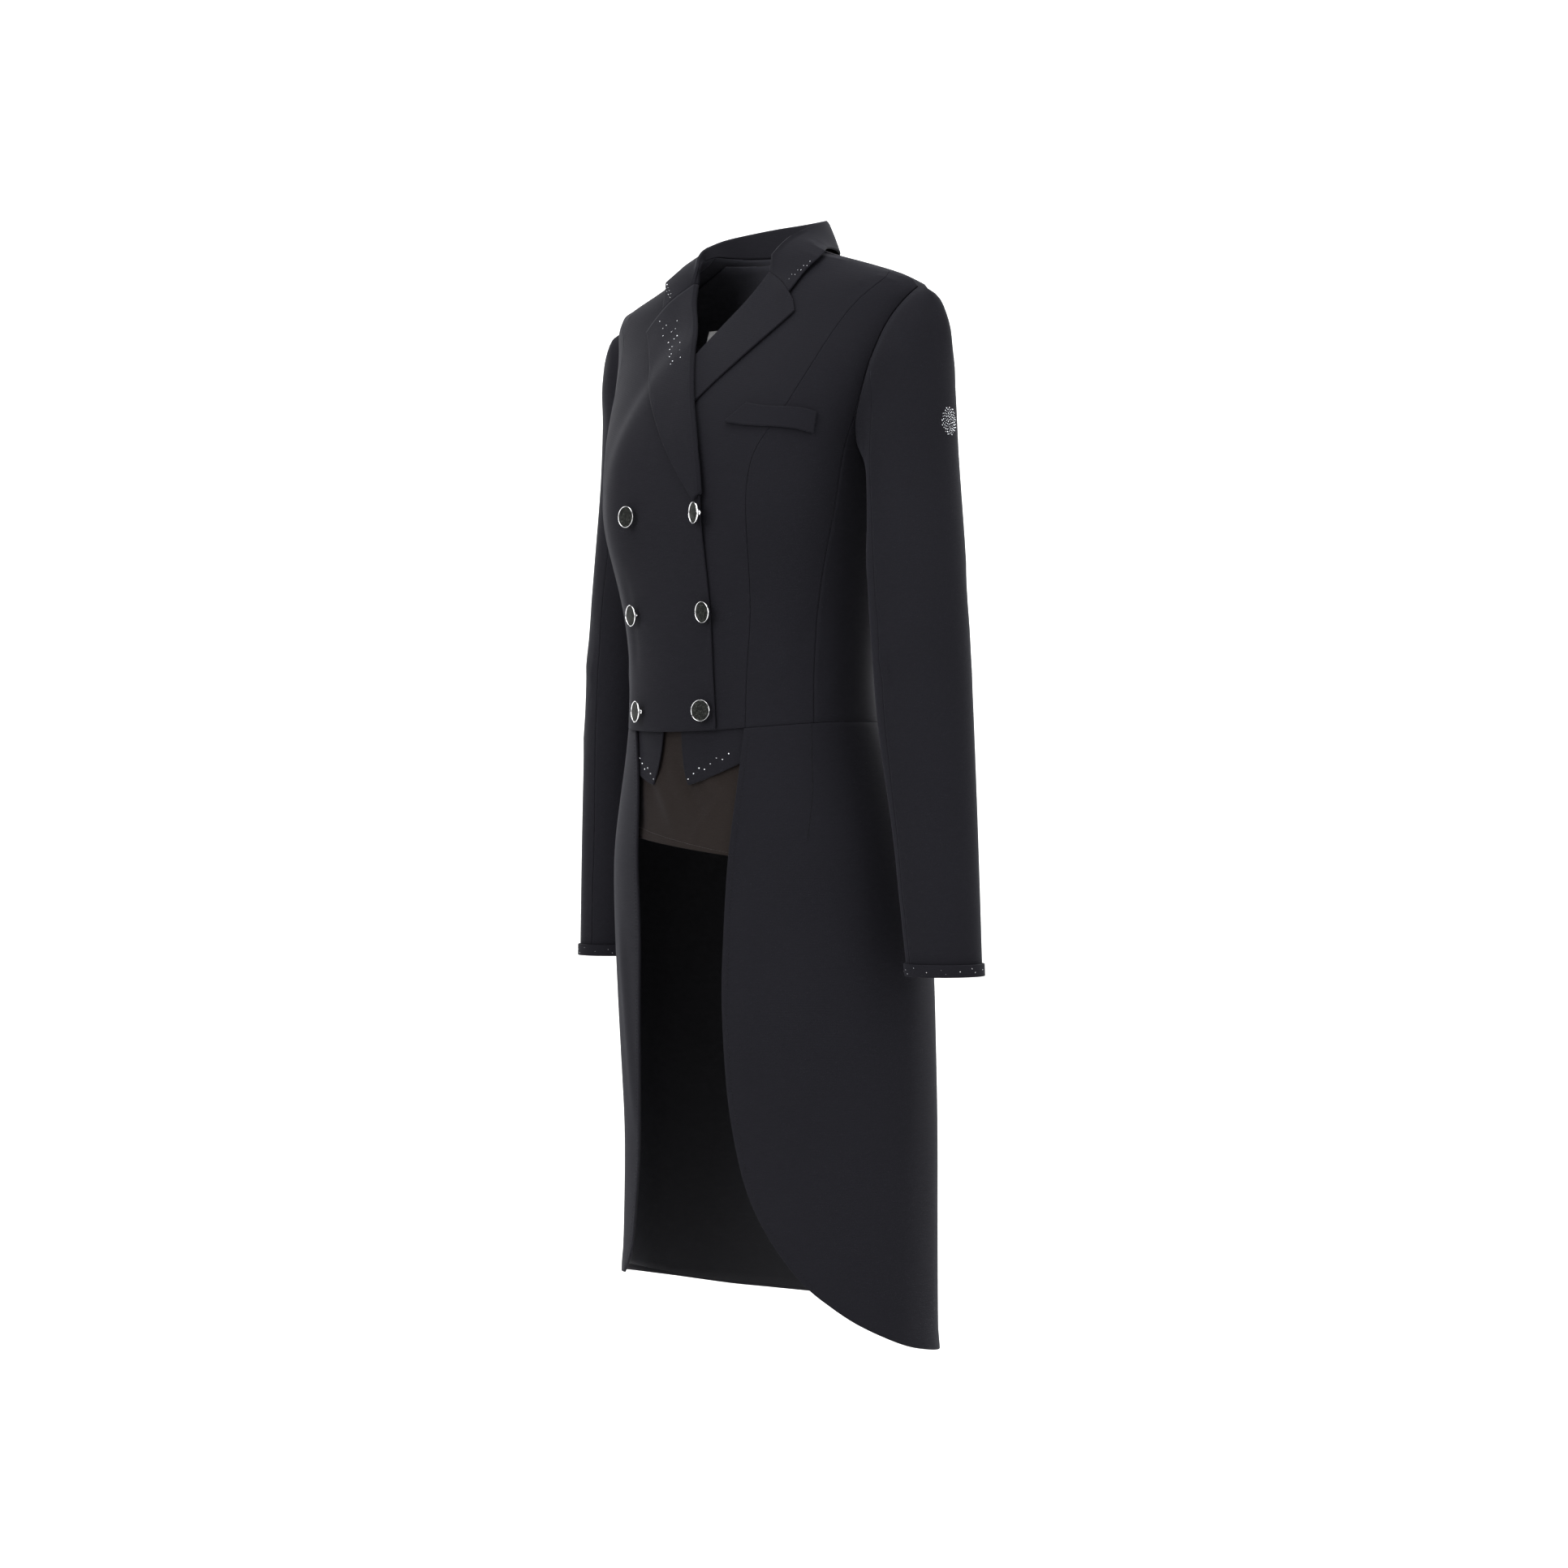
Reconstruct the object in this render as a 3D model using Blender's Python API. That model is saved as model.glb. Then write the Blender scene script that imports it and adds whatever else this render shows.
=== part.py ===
"""A women's double-breasted dressage tailcoat, as worn, hollow, with nobody in it.

Metres, +Z up. The coat faces -Y and the wearer's left is +X. The origin is the middle of
the neck where the collar is sewn on. Every piece of cloth is a thin wall of its own, cut
between its seams on one surface, the body of the coat, and 0.3 mm from its neighbours.
"""

import math
from bisect import bisect_right

import bmesh
import bpy
from mathutils import Vector

# Cloth, metres
CLOTH = 0.0020
LINING = 0.0010
SEAM = 0.0003
ARMHOLE_SEAM = 0.0005

# Rows and columns of each panel
BODY_ROWS = 12
ARM_ROWS = 10
RIDGE_ROWS = 4
FRONT_COLUMNS = 9
SIDE_FRONT_COLUMNS = 5
UNDERARM_COLUMNS = 8
BACK_COLUMNS = 8
TAIL_COLUMNS = 17
TAIL_ROWS = 14
HEAD_ROWS = 5
SLEEVE_ROWS = 6

# Levels up the body, counted in stations: waist seam 0, armhole 6, shoulder point 11
ARMHOLE = 6
SHOULDER = 11
NECK = 14

# Waist seam and hem
WAIST = -0.438
WAIST_DIP = 0.009
UNDERARM_DIP = 0.042

# Laps: how far the right front stands out where it covers the left front and its lapel
LAP = 0.0032
LAP_ON_LAPEL = 0.0060
LAP_EASE = 18.0
VENT_LAP = 6.0
VENT_STEP = 0.0032

# Buttons
BUTTON_STEPS = 14
BUTTON_GAP = 0.0003

# Colours: sRGB hex, roughness, metallic
FINISHES = {
    "cloth": ("26262B", 0.85, 0.0),
    "lining": ("0B0B0D", 0.55, 0.0),
    "inner_panel": ("2C2624", 0.75, 0.0),
    "label": ("DADADC", 0.70, 0.0),
    "button": ("9A9A9C", 0.30, 1.0),
}

# The body of the coat, level by level:
# height, half width, middle y, depth to the front, depth to the back, squareness front, back
BODY = (
    (0.0250, 0.0590, 0.003, 0.0290, 0.0520, 2.2, 2.2),
    (0.0050, 0.0620, 0.004, 0.0300, 0.0540, 2.2, 2.2),
    (-0.0236, 0.1480, 0.012, 0.0360, 0.0600, 2.2, 2.2),
    (-0.0440, 0.2060, 0.016, 0.0500, 0.0630, 2.2, 2.2),
    (-0.0560, 0.2120, 0.017, 0.0560, 0.0680, 2.2, 2.2),
    (-0.0720, 0.2070, 0.017, 0.0650, 0.0720, 2.2, 2.2),
    (-0.1110, 0.1890, 0.013, 0.0850, 0.0830, 2.3, 2.3),
    (-0.1550, 0.1670, 0.008, 0.1030, 0.0930, 2.6, 2.3),
    (-0.1950, 0.1530, 0.003, 0.1090, 0.1000, 3.0, 2.4),
    (-0.2470, 0.1470, 0.000, 0.1080, 0.1000, 3.2, 2.4),
    (-0.2850, 0.1430, -0.001, 0.1050, 0.0960, 2.7, 2.3),
    (-0.3380, 0.1390, -0.001, 0.0990, 0.0910, 2.2, 2.2),
    (-0.3900, 0.1370, -0.001, 0.0980, 0.0890, 2.0, 2.1),
    (-0.4370, 0.1400, 0.000, 0.0990, 0.0930, 2.0, 2.1),
    (-0.4900, 0.1520, 0.006, 0.1080, 0.1080, 2.0, 2.1),
    (-0.5600, 0.1700, 0.012, 0.1190, 0.1210, 2.0, 2.1),
    (-0.6600, 0.1790, 0.021, 0.1210, 0.1245, 2.0, 2.1),
    (-0.7550, 0.1800, 0.025, 0.1180, 0.1245, 2.0, 2.1),
    (-0.8300, 0.1800, 0.027, 0.1150, 0.1245, 2.0, 2.1),
    (-0.9550, 0.1810, 0.027, 0.1180, 0.1240, 2.0, 2.1),
    (-1.0400, 0.1820, 0.027, 0.1190, 0.1240, 2.0, 2.1),
)

# Seams of a front half, in degrees round from the middle of the front and metres up:
# station, then angle and height of the front edge, of the princess seam, and of the side
# seam, which goes on up the front of the armhole. The front edge is past the middle by
# its angle up to the lapel's break at station 4, and is the lapel's roll line above it.
FRONT_SEAMS = (
    (0, 24.5, -0.4455, 37.0, -0.4438, 68.5, -0.4392),
    (1, 23.8, -0.3920, 38.6, -0.3900, 70.0, -0.3880),
    (2, 23.0, -0.3380, 40.2, -0.3380, 70.8, -0.3380),
    (3, 22.5, -0.2850, 40.0, -0.2850, 73.6, -0.2880),
    (4, 22.0, -0.2350, 38.6, -0.2350, 77.0, -0.2430),
    (5, 18.5, -0.1920, 40.0, -0.1970, 77.8, -0.2030),
    (6, 11.0, -0.1540, 46.0, -0.1600, 78.2, -0.1650),
    (7, 2.0, -0.1140, 47.6, -0.1210, 72.5, -0.1180),
    (8, -6.5, -0.0730, 48.6, -0.0860, 71.0, -0.0850),
    (9, -20.5, -0.0270, 53.0, -0.0590, 77.0, -0.0625),
    (10, -40.0, -0.0070, 67.0, -0.0420, 83.5, -0.0545),
    (11, -90.0, 0.0040, 90.0, -0.0300, 90.0, -0.0505),
)

# Seams of a back half: station, height at the middle of the back, then angle and height of
# the side back seam, the back of the armhole and, from station 11, the shoulder seam.
BACK_SEAMS = (
    (0, -0.4380, 143.0, -0.4380),
    (1, -0.3880, 141.5, -0.3880),
    (2, -0.3380, 139.5, -0.3380),
    (3, -0.2880, 136.5, -0.2880),
    (4, -0.2400, 131.5, -0.2430),
    (5, -0.1950, 125.5, -0.2030),
    (6, -0.1520, 119.0, -0.1650),
    (7, -0.1130, 118.0, -0.1180),
    (8, -0.0800, 113.0, -0.0850),
    (9, -0.0560, 104.0, -0.0625),
    (10, -0.0400, 97.0, -0.0545),
    (11, -0.0280, 90.0, -0.0505),
    (12, -0.0170, 90.0, -0.0310),
    (13, -0.0080, 90.0, -0.0130),
    (14, 0.0030, 90.0, 0.0040),
)

# Front edge of a tail from the hem up: share of the way, angle, height
TAIL_EDGE = (
    (0.00, 49.5, -0.9480),
    (0.12, 36.5, -0.9090),
    (0.25, 25.0, -0.8490),
    (0.40, 20.6, -0.7690),
    (0.53, 20.6, -0.7030),
    (0.70, 24.3, -0.6070),
    (0.86, 30.2, -0.5190),
    (1.00, 36.4, -0.4440),
)

# Front edge of the right tail, which hangs further forward and almost straight
RIGHT_TAIL_EDGE = (
    (0.00, 38.0, -0.9560),
    (0.12, 28.5, -0.9330),
    (0.25, 25.0, -0.8780),
    (0.40, 22.0, -0.7930),
    (0.53, 18.5, -0.7080),
    (0.70, 15.0, -0.6130),
    (0.86, 16.5, -0.5200),
    (1.00, 27.0, -0.4453),
)

# Hem of a tail from the front edge to the back: share of the way, angle, height
TAIL_HEM = (
    (0.00, 49.5, -0.9480),
    (0.16, 69.0, -0.9800),
    (0.37, 97.5, -1.0040),
    (0.65, 135.0, -1.0150),
    (1.00, 186.0, -1.0180),
)
RIGHT_TAIL_HEM = (
    (0.00, 38.0, -0.9560),
    (0.16, 62.0, -0.9620),
    (0.37, 92.0, -0.9735),
    (0.65, 131.0, -0.9870),
    (1.00, 186.0, -0.9930),
)

# Outer edge of a lapel, from the break to its peak: station, then angle and height.
# The roll line is the front's edge at the same stations, and angles count as they do there.
LAPEL = (
    (4.0, 20.3, -0.2390),
    (5.0, 10.0, -0.2070),
    (6.0, -2.3, -0.1700),
    (7.0, -14.5, -0.1290),
    (8.0, -24.0, -0.0930),
    (9.0, -30.3, -0.0680),
)

# Section of a lapel across its roll, metres: beyond the front's edge and above the cloth,
# for the face of the lapel and for its under side
LAPEL_ROLL = (
    (0.0030, -0.0016, 0.0010, -0.0018),
    (0.0035, 0.0008, 0.0014, 0.0004),
    (0.0018, 0.0035, 0.0006, 0.0019),
)
LAPEL_FACE = 0.0037
LAPEL_UNDER = 0.0020
LAPEL_EDGE_DROP = 0.0005
LAPEL_PRESSED = 0.0007
LAPEL_COLUMNS = 7
LAPEL_ROWS = 10
LAPEL_FIRST_ROW = 8

# Collar from the middle of the back towards the gorge, where its section becomes the
# lapel's: station, fold line (x, y, z), fall's edge (angle, height)
COLLAR = (
    (0.0, 0.0000, 0.0640, 0.0320, 180.0, -0.0110),
    (1.0, 0.0320, 0.0580, 0.0310, 152.0, -0.0095),
    (2.0, 0.0530, 0.0400, 0.0260, 125.0, -0.0075),
    (3.0, 0.0620, 0.0180, 0.0195, 104.0, -0.0075),
    (4.0, 0.0645, 0.0000, 0.0120, 80.0, -0.0110),
    (4.5, 0.0625, -0.0085, 0.0080, 66.0, -0.0150),
    (5.0, 0.0595, -0.0165, 0.0010, 51.0, -0.0205),
    (5.5, 0.0535, -0.0225, -0.0090, 39.0, -0.0275),
)
COLLAR_SIDE = 4
COLLAR_GORGE = 6
NECK_SEAM = 0.0006
COLLAR_COLUMNS = 24
COLLAR_ROWS = 6
COLLAR_FOLD = 0.0054
COLLAR_OUT = 0.0054

# Sleeve below its head: height, middle x, middle y, half width across, half depth
SLEEVE = (
    (-0.185, 0.1925, 0.0238, 0.0390, 0.0460),
    (-0.220, 0.1965, 0.0238, 0.0388, 0.0455),
    (-0.300, 0.2062, 0.0225, 0.0400, 0.0458),
    (-0.400, 0.2170, 0.0205, 0.0395, 0.0435),
    (-0.530, 0.2288, 0.0208, 0.0368, 0.0400),
    (-0.664, 0.2412, 0.0215, 0.0326, 0.0345),
)
SLEEVE_COLUMNS = 28
HEAD_END = -0.215
HEAD_TILT = 0.020
SLEEVE_END = -0.6625
CUFF_TOP = -0.6530
CUFF_END = -0.6640
CUFF_OUT = 0.0024

# Faux waistcoat point below a front's hem: share across, angle at its top and bottom,
# height of its bottom
WAISTCOAT_POINT = (
    (0.0, 4.8, 6.0, -0.4640),
    (1 / 3, 11.0, 9.7, -0.4955),
    (1.0, 40.0, 38.5, -0.4710),
)
WAISTCOAT_POINT_TOP = -0.4250
WAISTCOAT_POINT_OUT = -0.0028
WAISTCOAT_POINT_CLOTH = 0.0012

INNER_PANEL_ANGLE = 62.0
INNER_PANEL_TOP = -0.4300
INNER_PANEL_HEM = -0.5508
INNER_PANEL_SLANT = 0.00034
INNER_PANEL_OUT = -0.0069
INNER_PANEL_CLOTH = 0.0012

LINING_OUT = -0.0038
LINING_START = 41.5
BACK_LINING_ANGLE = 62.0
BACK_LINING_TOP = 0.0000
BACK_LINING_END = -0.3000

# Chest welt on the left front: angle and height of the lower and upper corners
WELT = ((26.0, -0.1690, 32.0, -0.1525), (61.0, -0.1815, 59.0, -0.1620))
WELT_OUT = 0.0028
WELT_CLOTH = 0.0020
WELT_SAG = 0.0012

# Blank label inside the back, right of the middle: angles, heights
LABEL = (-146.0, -130.0, -0.0840, -0.0520)
LABEL_OUT = -0.0072
LABEL_CLOTH = 0.0006

# Buttons: name, distance right (-) or left (+) of the middle, height, turn in degrees
BUTTONS = (
    ("button_top_right", -0.0390, -0.2490, 8.0),
    ("button_top_left", 0.0600, -0.2500, -22.0),
    ("button_middle_right", -0.0490, -0.3385, 0.0),
    ("button_middle_left", 0.0530, -0.3385, -15.0),
    ("button_bottom_right", -0.0430, -0.4280, -4.0),
    ("button_bottom_left", 0.0465, -0.4280, 6.0),
)

# Button turned on its shank, from its foot to the middle of its face: radius, height
BUTTON_PROFILE = (
    (0.0000, 0.0000),
    (0.0030, 0.0000),
    (0.0026, 0.0040),
    (0.0094, 0.0042),
    (0.0108, 0.0052),
    (0.0103, 0.0068),
    (0.0088, 0.0070),
    (0.0084, 0.0062),
    (0.0000, 0.0064),
)


def curves(rows):
    """A function giving the other columns of a table at any value of its first."""
    rows = sorted(rows)
    keys = [row[0] for row in rows]
    columns = list(zip(*rows))[1:]
    slopes = []
    for column in columns:
        steps = [
            (high - low) / (k - j)
            for low, high, j, k in zip(column, column[1:], keys, keys[1:])
        ]
        inner = [
            2 * a * b / (a + b) if a * b > 0 else 0.0 for a, b in zip(steps, steps[1:])
        ]
        slopes.append([steps[0], *inner, steps[-1]])

    def at(key):
        key = min(max(key, keys[0]), keys[-1])
        i = min(bisect_right(keys, key), len(keys) - 1) - 1
        span = keys[i + 1] - keys[i]
        t = (key - keys[i]) / span
        rise = t * t * (3 - 2 * t)
        return [
            column[i] * (1 - rise)
            + column[i + 1] * rise
            + span * (slope[i] * t * (1 - t) ** 2 - slope[i + 1] * t * t * (1 - t))
            for column, slope in zip(columns, slopes)
        ]

    return at


def mix(a, b, t):
    return a * (1 - t) + b * t


def ease(low, high, value):
    t = min(max((value - low) / (high - low), 0.0), 1.0)
    return t * t * (3 - 2 * t)


body_level = curves(BODY)
front_seams = curves(FRONT_SEAMS)
edge_by_height = curves([(row[2], row[1]) for row in FRONT_SEAMS])
back_seams = curves(BACK_SEAMS)
left_tail_edge = curves(TAIL_EDGE)
right_tail_edge = curves(RIGHT_TAIL_EDGE)
left_tail_hem = curves(TAIL_HEM)
right_tail_hem = curves(RIGHT_TAIL_HEM)
lapel_edge = curves(LAPEL)
sleeve_level = curves(SLEEVE)
point_lines = curves(WAISTCOAT_POINT)


def ring(angle, height):
    """The point of the body at this angle from the middle of the front, in degrees."""
    width, middle, front, back, front_square, back_square = body_level(height)
    across = math.sin(math.radians(angle))
    along = math.cos(math.radians(angle))
    depth, square = (front, front_square) if along > 0 else (back, back_square)
    reach = (abs(across) ** square + abs(along) ** square) ** (-1 / square)
    return Vector((width * reach * across, middle - depth * reach * along, height))


def body(angle, height, out=0.0):
    """The same point, moved out from the cloth's face by this much."""
    point = ring(angle, height)
    if not out:
        return point
    around = ring(angle + 0.5, height) - ring(angle - 0.5, height)
    upward = ring(angle, height + 0.0008) - ring(angle, height - 0.0008)
    return point + out * around.cross(upward).normalized()


def angle_at(x, height):
    """The angle, in front, at which the body is this far from the middle plane."""
    low, high = 0.0, 90.0
    for _ in range(30):
        half = (low + high) / 2
        low, high = (half, high) if ring(half, height).x < abs(x) else (low, half)
    return math.copysign(low, x)


def waist(angle):
    """Height of the waist seam, lowest at the middle of the front."""
    return WAIST - WAIST_DIP * max(math.cos(math.radians(angle)), 0.0) ** 2


def station(row):
    """The station of a row of the panels, counted from the waist seam."""
    if row <= BODY_ROWS:
        return row * ARMHOLE / BODY_ROWS
    if row <= BODY_ROWS + ARM_ROWS:
        return ARMHOLE + (row - BODY_ROWS) * (SHOULDER - ARMHOLE) / ARM_ROWS
    return SHOULDER + (row - BODY_ROWS - ARM_ROWS) * (NECK - SHOULDER) / RIDGE_ROWS


def patch(u, v, left, right, bottom=None, top=None):
    """Angle and height in a panel between its four edges, each a function of u or of v."""
    found = []
    for k in range(2):
        value = mix(left(v)[k], right(v)[k], u)
        if bottom:
            value += (1 - v) * (bottom(u)[k] - mix(left(0)[k], right(0)[k], u))
        if top:
            value += v * (top(u)[k] - mix(left(1)[k], right(1)[k], u))
        found.append(value)
    return found


def add_material(obj, finish):
    colour, roughness, metallic = FINISHES[finish]
    material = bpy.data.materials.new(obj.name)
    material.use_nodes = True
    shader = material.node_tree.nodes["Principled BSDF"]
    levels = [int(colour[k : k + 2], 16) / 255 for k in (0, 2, 4)]
    linear = [((level + 0.055) / 1.055) ** 2.4 for level in levels]
    shader.inputs["Base Color"].default_value = (*linear, 1)
    shader.inputs["Roughness"].default_value = roughness
    shader.inputs["Metallic"].default_value = metallic
    obj.data.materials.append(material)


def add_object(name, bm, finish, mirrored=False):
    if mirrored:
        bmesh.ops.scale(bm, vec=(-1, 1, 1), verts=bm.verts)
    bmesh.ops.recalc_face_normals(bm, faces=bm.faces)
    bmesh.ops.triangulate(bm, faces=bm.faces)
    if bm.calc_volume(signed=True) < 0:
        bmesh.ops.reverse_faces(bm, faces=bm.faces)
    mesh = bpy.data.meshes.new(name)
    bm.to_mesh(mesh)
    bm.free()
    mesh.shade_smooth()
    mesh.set_sharp_from_angle(angle=math.radians(40))
    obj = bpy.data.objects.new(name, mesh)
    bpy.context.scene.collection.objects.link(obj)
    add_material(obj, finish)


def sew(name, place, across, up, finish="cloth", mirrored=False):
    """Makes a wall from place(u, v, under), where under is 0 on its face and 1 behind it.

    Its four edges stand back by half a seam from the line that place gives."""
    bm = bmesh.new()
    bmesh.ops.create_grid(bm, x_segments=across, y_segments=up, size=0.5)
    wall = bmesh.ops.extrude_face_region(bm, geom=bm.faces[:], use_keep_orig=True)
    for vert in (item for item in wall["geom"] if isinstance(item, bmesh.types.BMVert)):
        vert.co.z = 1
    for vert in bm.verts:
        u, v, under = round(vert.co.x + 0.5, 5), round(vert.co.y + 0.5, 5), vert.co.z
        point = place(u, v, under)
        moved = point.copy()
        if u in (0, 1):
            inward = place(abs(u - 0.05), v, under) - point
            moved += inward.normalized() * SEAM / 2
        if v in (0, 1):
            inward = place(u, abs(v - 0.03), under) - point
            moved += inward.normalized() * SEAM / 2
        vert.co = moved
    add_object(name, bm, finish, mirrored)


def lap(angle, height):
    """How far the right front stands out, over the left front and its lapel."""
    front_edge = edge_by_height(height)[0]
    cover = 1 - ease(front_edge + 6, front_edge + LAP_EASE, angle)
    at_lapel = ease(-0.060, -0.088, height) * LAP_ON_LAPEL
    return cover * mix(at_lapel, LAP, ease(-0.240, -0.290, height))


def front_panel(lapped):
    rows = BODY_ROWS + ARM_ROWS

    def edge(v):
        row = front_seams(station(v * rows))
        return -row[0], row[1]

    def princess(v):
        row = front_seams(station(v * rows))
        return row[2], row[3]

    def hem(u):
        angle = mix(edge(0)[0], princess(0)[0], u)
        return angle, waist(angle)

    def place(u, v, under):
        angle, height = patch(u, v, edge, princess, bottom=hem)
        out = lap(angle, height) if lapped else 0.0
        return body(angle, height, out - under * CLOTH)

    return place


def side_front_panel(u, v, under):
    rows = BODY_ROWS + ARM_ROWS

    def princess(v):
        row = front_seams(station(v * rows))
        return row[2], row[3]

    def side(v):
        row = front_seams(station(v * rows))
        return row[4], row[5]

    def hem(u):
        angle = mix(princess(0)[0], side(0)[0], u)
        return angle, waist(angle)

    return body(*patch(u, v, princess, side, bottom=hem), -under * CLOTH)


def underarm(u):
    """The bottom of the armhole, from its front to its back."""
    front, back = front_seams(ARMHOLE), back_seams(ARMHOLE)
    dip = UNDERARM_DIP * math.sin(math.pi * min(max(u, 0.0), 1.0)) ** 0.75
    return mix(front[4], back[1], u), mix(front[5], back[2], u) - dip


def side_body_panel(u, v, under):
    def side(v):
        row = front_seams(v * ARMHOLE)
        return row[4], row[5]

    def side_back(v):
        row = back_seams(v * ARMHOLE)
        return row[1], row[2]

    def hem(u):
        angle = mix(side(0)[0], side_back(0)[0], u)
        return angle, waist(angle)

    return body(*patch(u, v, side, side_back, hem, underarm), -under * CLOTH)


def back_panel(u, v, under):
    rows = BODY_ROWS + ARM_ROWS + RIDGE_ROWS

    def side_back(v):
        row = back_seams(station(v * rows))
        return row[1], row[2]

    def middle(v):
        return 180.0, back_seams(station(v * rows))[0]

    return body(*patch(u, v, side_back, middle), -under * CLOTH)


def tail_panel(right, thickness=CLOTH, out=0.0, front_inset=0.0, hem_inset=0.0):
    """A tail, or with the insets its lining, from the front edge to the vent."""
    tail_edge, tail_hem = (right_tail_edge, right_tail_hem) if right else (left_tail_edge, left_tail_hem)
    hem_start, hem_end = tail_hem(0)[0], tail_hem(1)[0]

    def front(v):
        angle, height = tail_edge(v)
        if front_inset:
            angle = mix(angle + front_inset, LINING_START, ease(-0.560, -0.485, height))
        return angle, height

    def vent(v):
        end = 180 + VENT_LAP if not front_inset else 180 - front_inset * 3
        return end, mix(hem(1)[1], WAIST, v)

    def hem(u):
        angle, height = tail_hem(u)
        end = 180 + VENT_LAP if not front_inset else 180 - front_inset * 3
        reach = (angle - hem_start) / (hem_end - hem_start)
        return mix(hem_start + front_inset, end, reach), height + hem_inset

    def waist_seam(u):
        start, end = front(1)[0], vent(1)[0]
        angle = mix(start, end, u)
        return angle, waist(angle)

    def place(u, v, under):
        angle, height = patch(u, v, front, vent, hem, waist_seam)
        step = VENT_STEP * ease(164, 172, angle) if right else 0.0
        return body(angle, height, out - step - under * thickness)

    return place


def tail_lining(right):
    """The lining starts behind the waistcoat points and stops short of the vent."""
    return tail_panel(right, LINING, LINING_OUT, front_inset=5.0, hem_inset=0.012)


def along_line(a, b, t):
    return mix(a[0], b[0], t), mix(a[1], b[1], t)


def lapel_section(roll, outer, over, column, under):
    """A point across the lapel: columns 0 to 2 go round its roll, the others lie flat."""
    lift = lap(*roll) if over else 0.0
    pressed = -0.0005 if over else LAPEL_PRESSED * ease(-0.080, -0.100, roll[1])
    inward = (body(*along_line(roll, outer, 0.3)) - body(*roll)).normalized()
    curl = len(LAPEL_ROLL)
    if column < curl:
        k = min(int(column), curl - 2)
        low, high = LAPEL_ROLL[k][2 * under :], LAPEL_ROLL[k + 1][2 * under :]
        beyond = mix(low[0], high[0], column - k)
        above = mix(low[1], high[1], column - k) - pressed * max(column - 1, 0) / 2
        return body(*roll, lift + above) - inward * beyond
    t = (column - curl + 0.3) / (LAPEL_COLUMNS - 0.7)
    spot = along_line(roll, outer, t)
    if over:
        lift = lap(*spot)
    height = LAPEL_UNDER if under else LAPEL_FACE
    return body(*spot, lift + height - pressed - LAPEL_EDGE_DROP * t)


def lapel_panel(over):
    """The lapel of the left front, or with over that of the right one, which laps it."""

    def place(u, v, under):
        at = station(LAPEL_FIRST_ROW + LAPEL_ROWS * v)
        edge, outer = front_seams(at), lapel_edge(at)
        column = round(u * (LAPEL_COLUMNS + len(LAPEL_ROLL) - 1), 3)
        roll, outer = (-edge[0], edge[1]), (-outer[0], outer[1])
        return lapel_section(roll, outer, over, column, int(under))

    return place


def neck_edge(at):
    """Angle and height where the collar's foot is sewn on, at one of its stations."""
    if at <= COLLAR_SIDE:
        top, middle = back_seams(NECK)[2], back_seams(NECK)[0]
        return mix(180.0, 90.0, at / COLLAR_SIDE), mix(middle, top, at / COLLAR_SIDE)
    along = (at - COLLAR_SIDE) / (COLLAR_GORGE - COLLAR_SIDE)
    row = front_seams(mix(SHOULDER, LAPEL[-1][0], along))
    return -row[0], row[1]


def collar_section(row):
    """Face and under side of the collar at one of its stations, from foot to edge."""
    at, fold, edge = row[0], Vector(row[1:4]), body(row[4], row[5], COLLAR_OUT)
    neck = neck_edge(at)
    down = (body(neck[0], neck[1] - 0.002) - body(*neck)).normalized()
    down = down.lerp((edge - body(*neck)).normalized(), ease(3, 5, at)).normalized()
    rolled = ease(3.5, 6, at)
    beyond, above, beyond_under, above_under = LAPEL_ROLL[0]
    foot = body(*neck, mix(-CLOTH, above, rolled))
    foot -= down * mix(NECK_SEAM, beyond, rolled)
    foot_under = body(*neck, mix(0.0, above_under, rolled))
    foot_under -= down * mix(NECK_SEAM, beyond_under, rolled)
    out = Vector((fold.x, fold.y - 0.01, 0)).normalized()
    out = out.lerp((edge - fold).normalized(), ease(3, 5, at) * 0.8).normalized()
    rise = (Vector((0, 0, 1)) - out * out.z).normalized()
    over = fold + out * COLLAR_FOLD - rise * COLLAR_FOLD * 0.25
    face = [
        foot,
        foot.lerp(fold, 0.55),
        fold,
        fold.lerp(over, 0.5) + rise * COLLAR_FOLD * 0.4,
        over,
        over.lerp(edge, 0.5) + out * 0.001 + rise * 0.0025 * ease(3, 5, at),
        edge,
    ]
    plane = out.cross(rise)
    under = [foot_under]
    for i, point in enumerate(face[1:], 1):
        down = face[min(i + 1, len(face) - 1)] - face[i - 1]
        under.append(point + down.cross(plane).normalized() * CLOTH)
    return face, under


def gorge_section():
    """The collar's last section, which is the lapel's at its top, out to the notch."""
    edge, outer = front_seams(LAPEL[-1][0]), lapel_edge(LAPEL[-1][0])
    roll, peak = (-edge[0], edge[1]), (-outer[0], outer[1])
    return [
        [lapel_section(roll, peak, False, i, under) for i in range(COLLAR_ROWS + 1)]
        for under in (0, 1)
    ]


def collar_table():
    sections = [(row[0], collar_section(row)) for row in COLLAR]
    rows = []
    for at, sides in (*sections, (COLLAR_GORGE, gorge_section())):
        flat = [value for side in sides for point in side for value in point]
        rows.append((at, *flat))
        if at:
            mirrored = [-value if i % 3 == 0 else value for i, value in enumerate(flat)]
            rows.append((-at, *mirrored))
    return rows


def collar_panel(u, v, under):
    """The collar, from the right gorge to the left one and from its foot to its edge."""
    values = collar_points(mix(-COLLAR_GORGE, COLLAR_GORGE, u))
    across = min(max(v, 0.0), 1.0) * COLLAR_ROWS
    k = min(int(across), COLLAR_ROWS - 1)
    at = 3 * (k + int(under) * (COLLAR_ROWS + 1))
    low, high = Vector(values[at : at + 3]), Vector(values[at + 3 : at + 6])
    return low.lerp(high, across - k)


collar_points = curves(collar_table())


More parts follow.
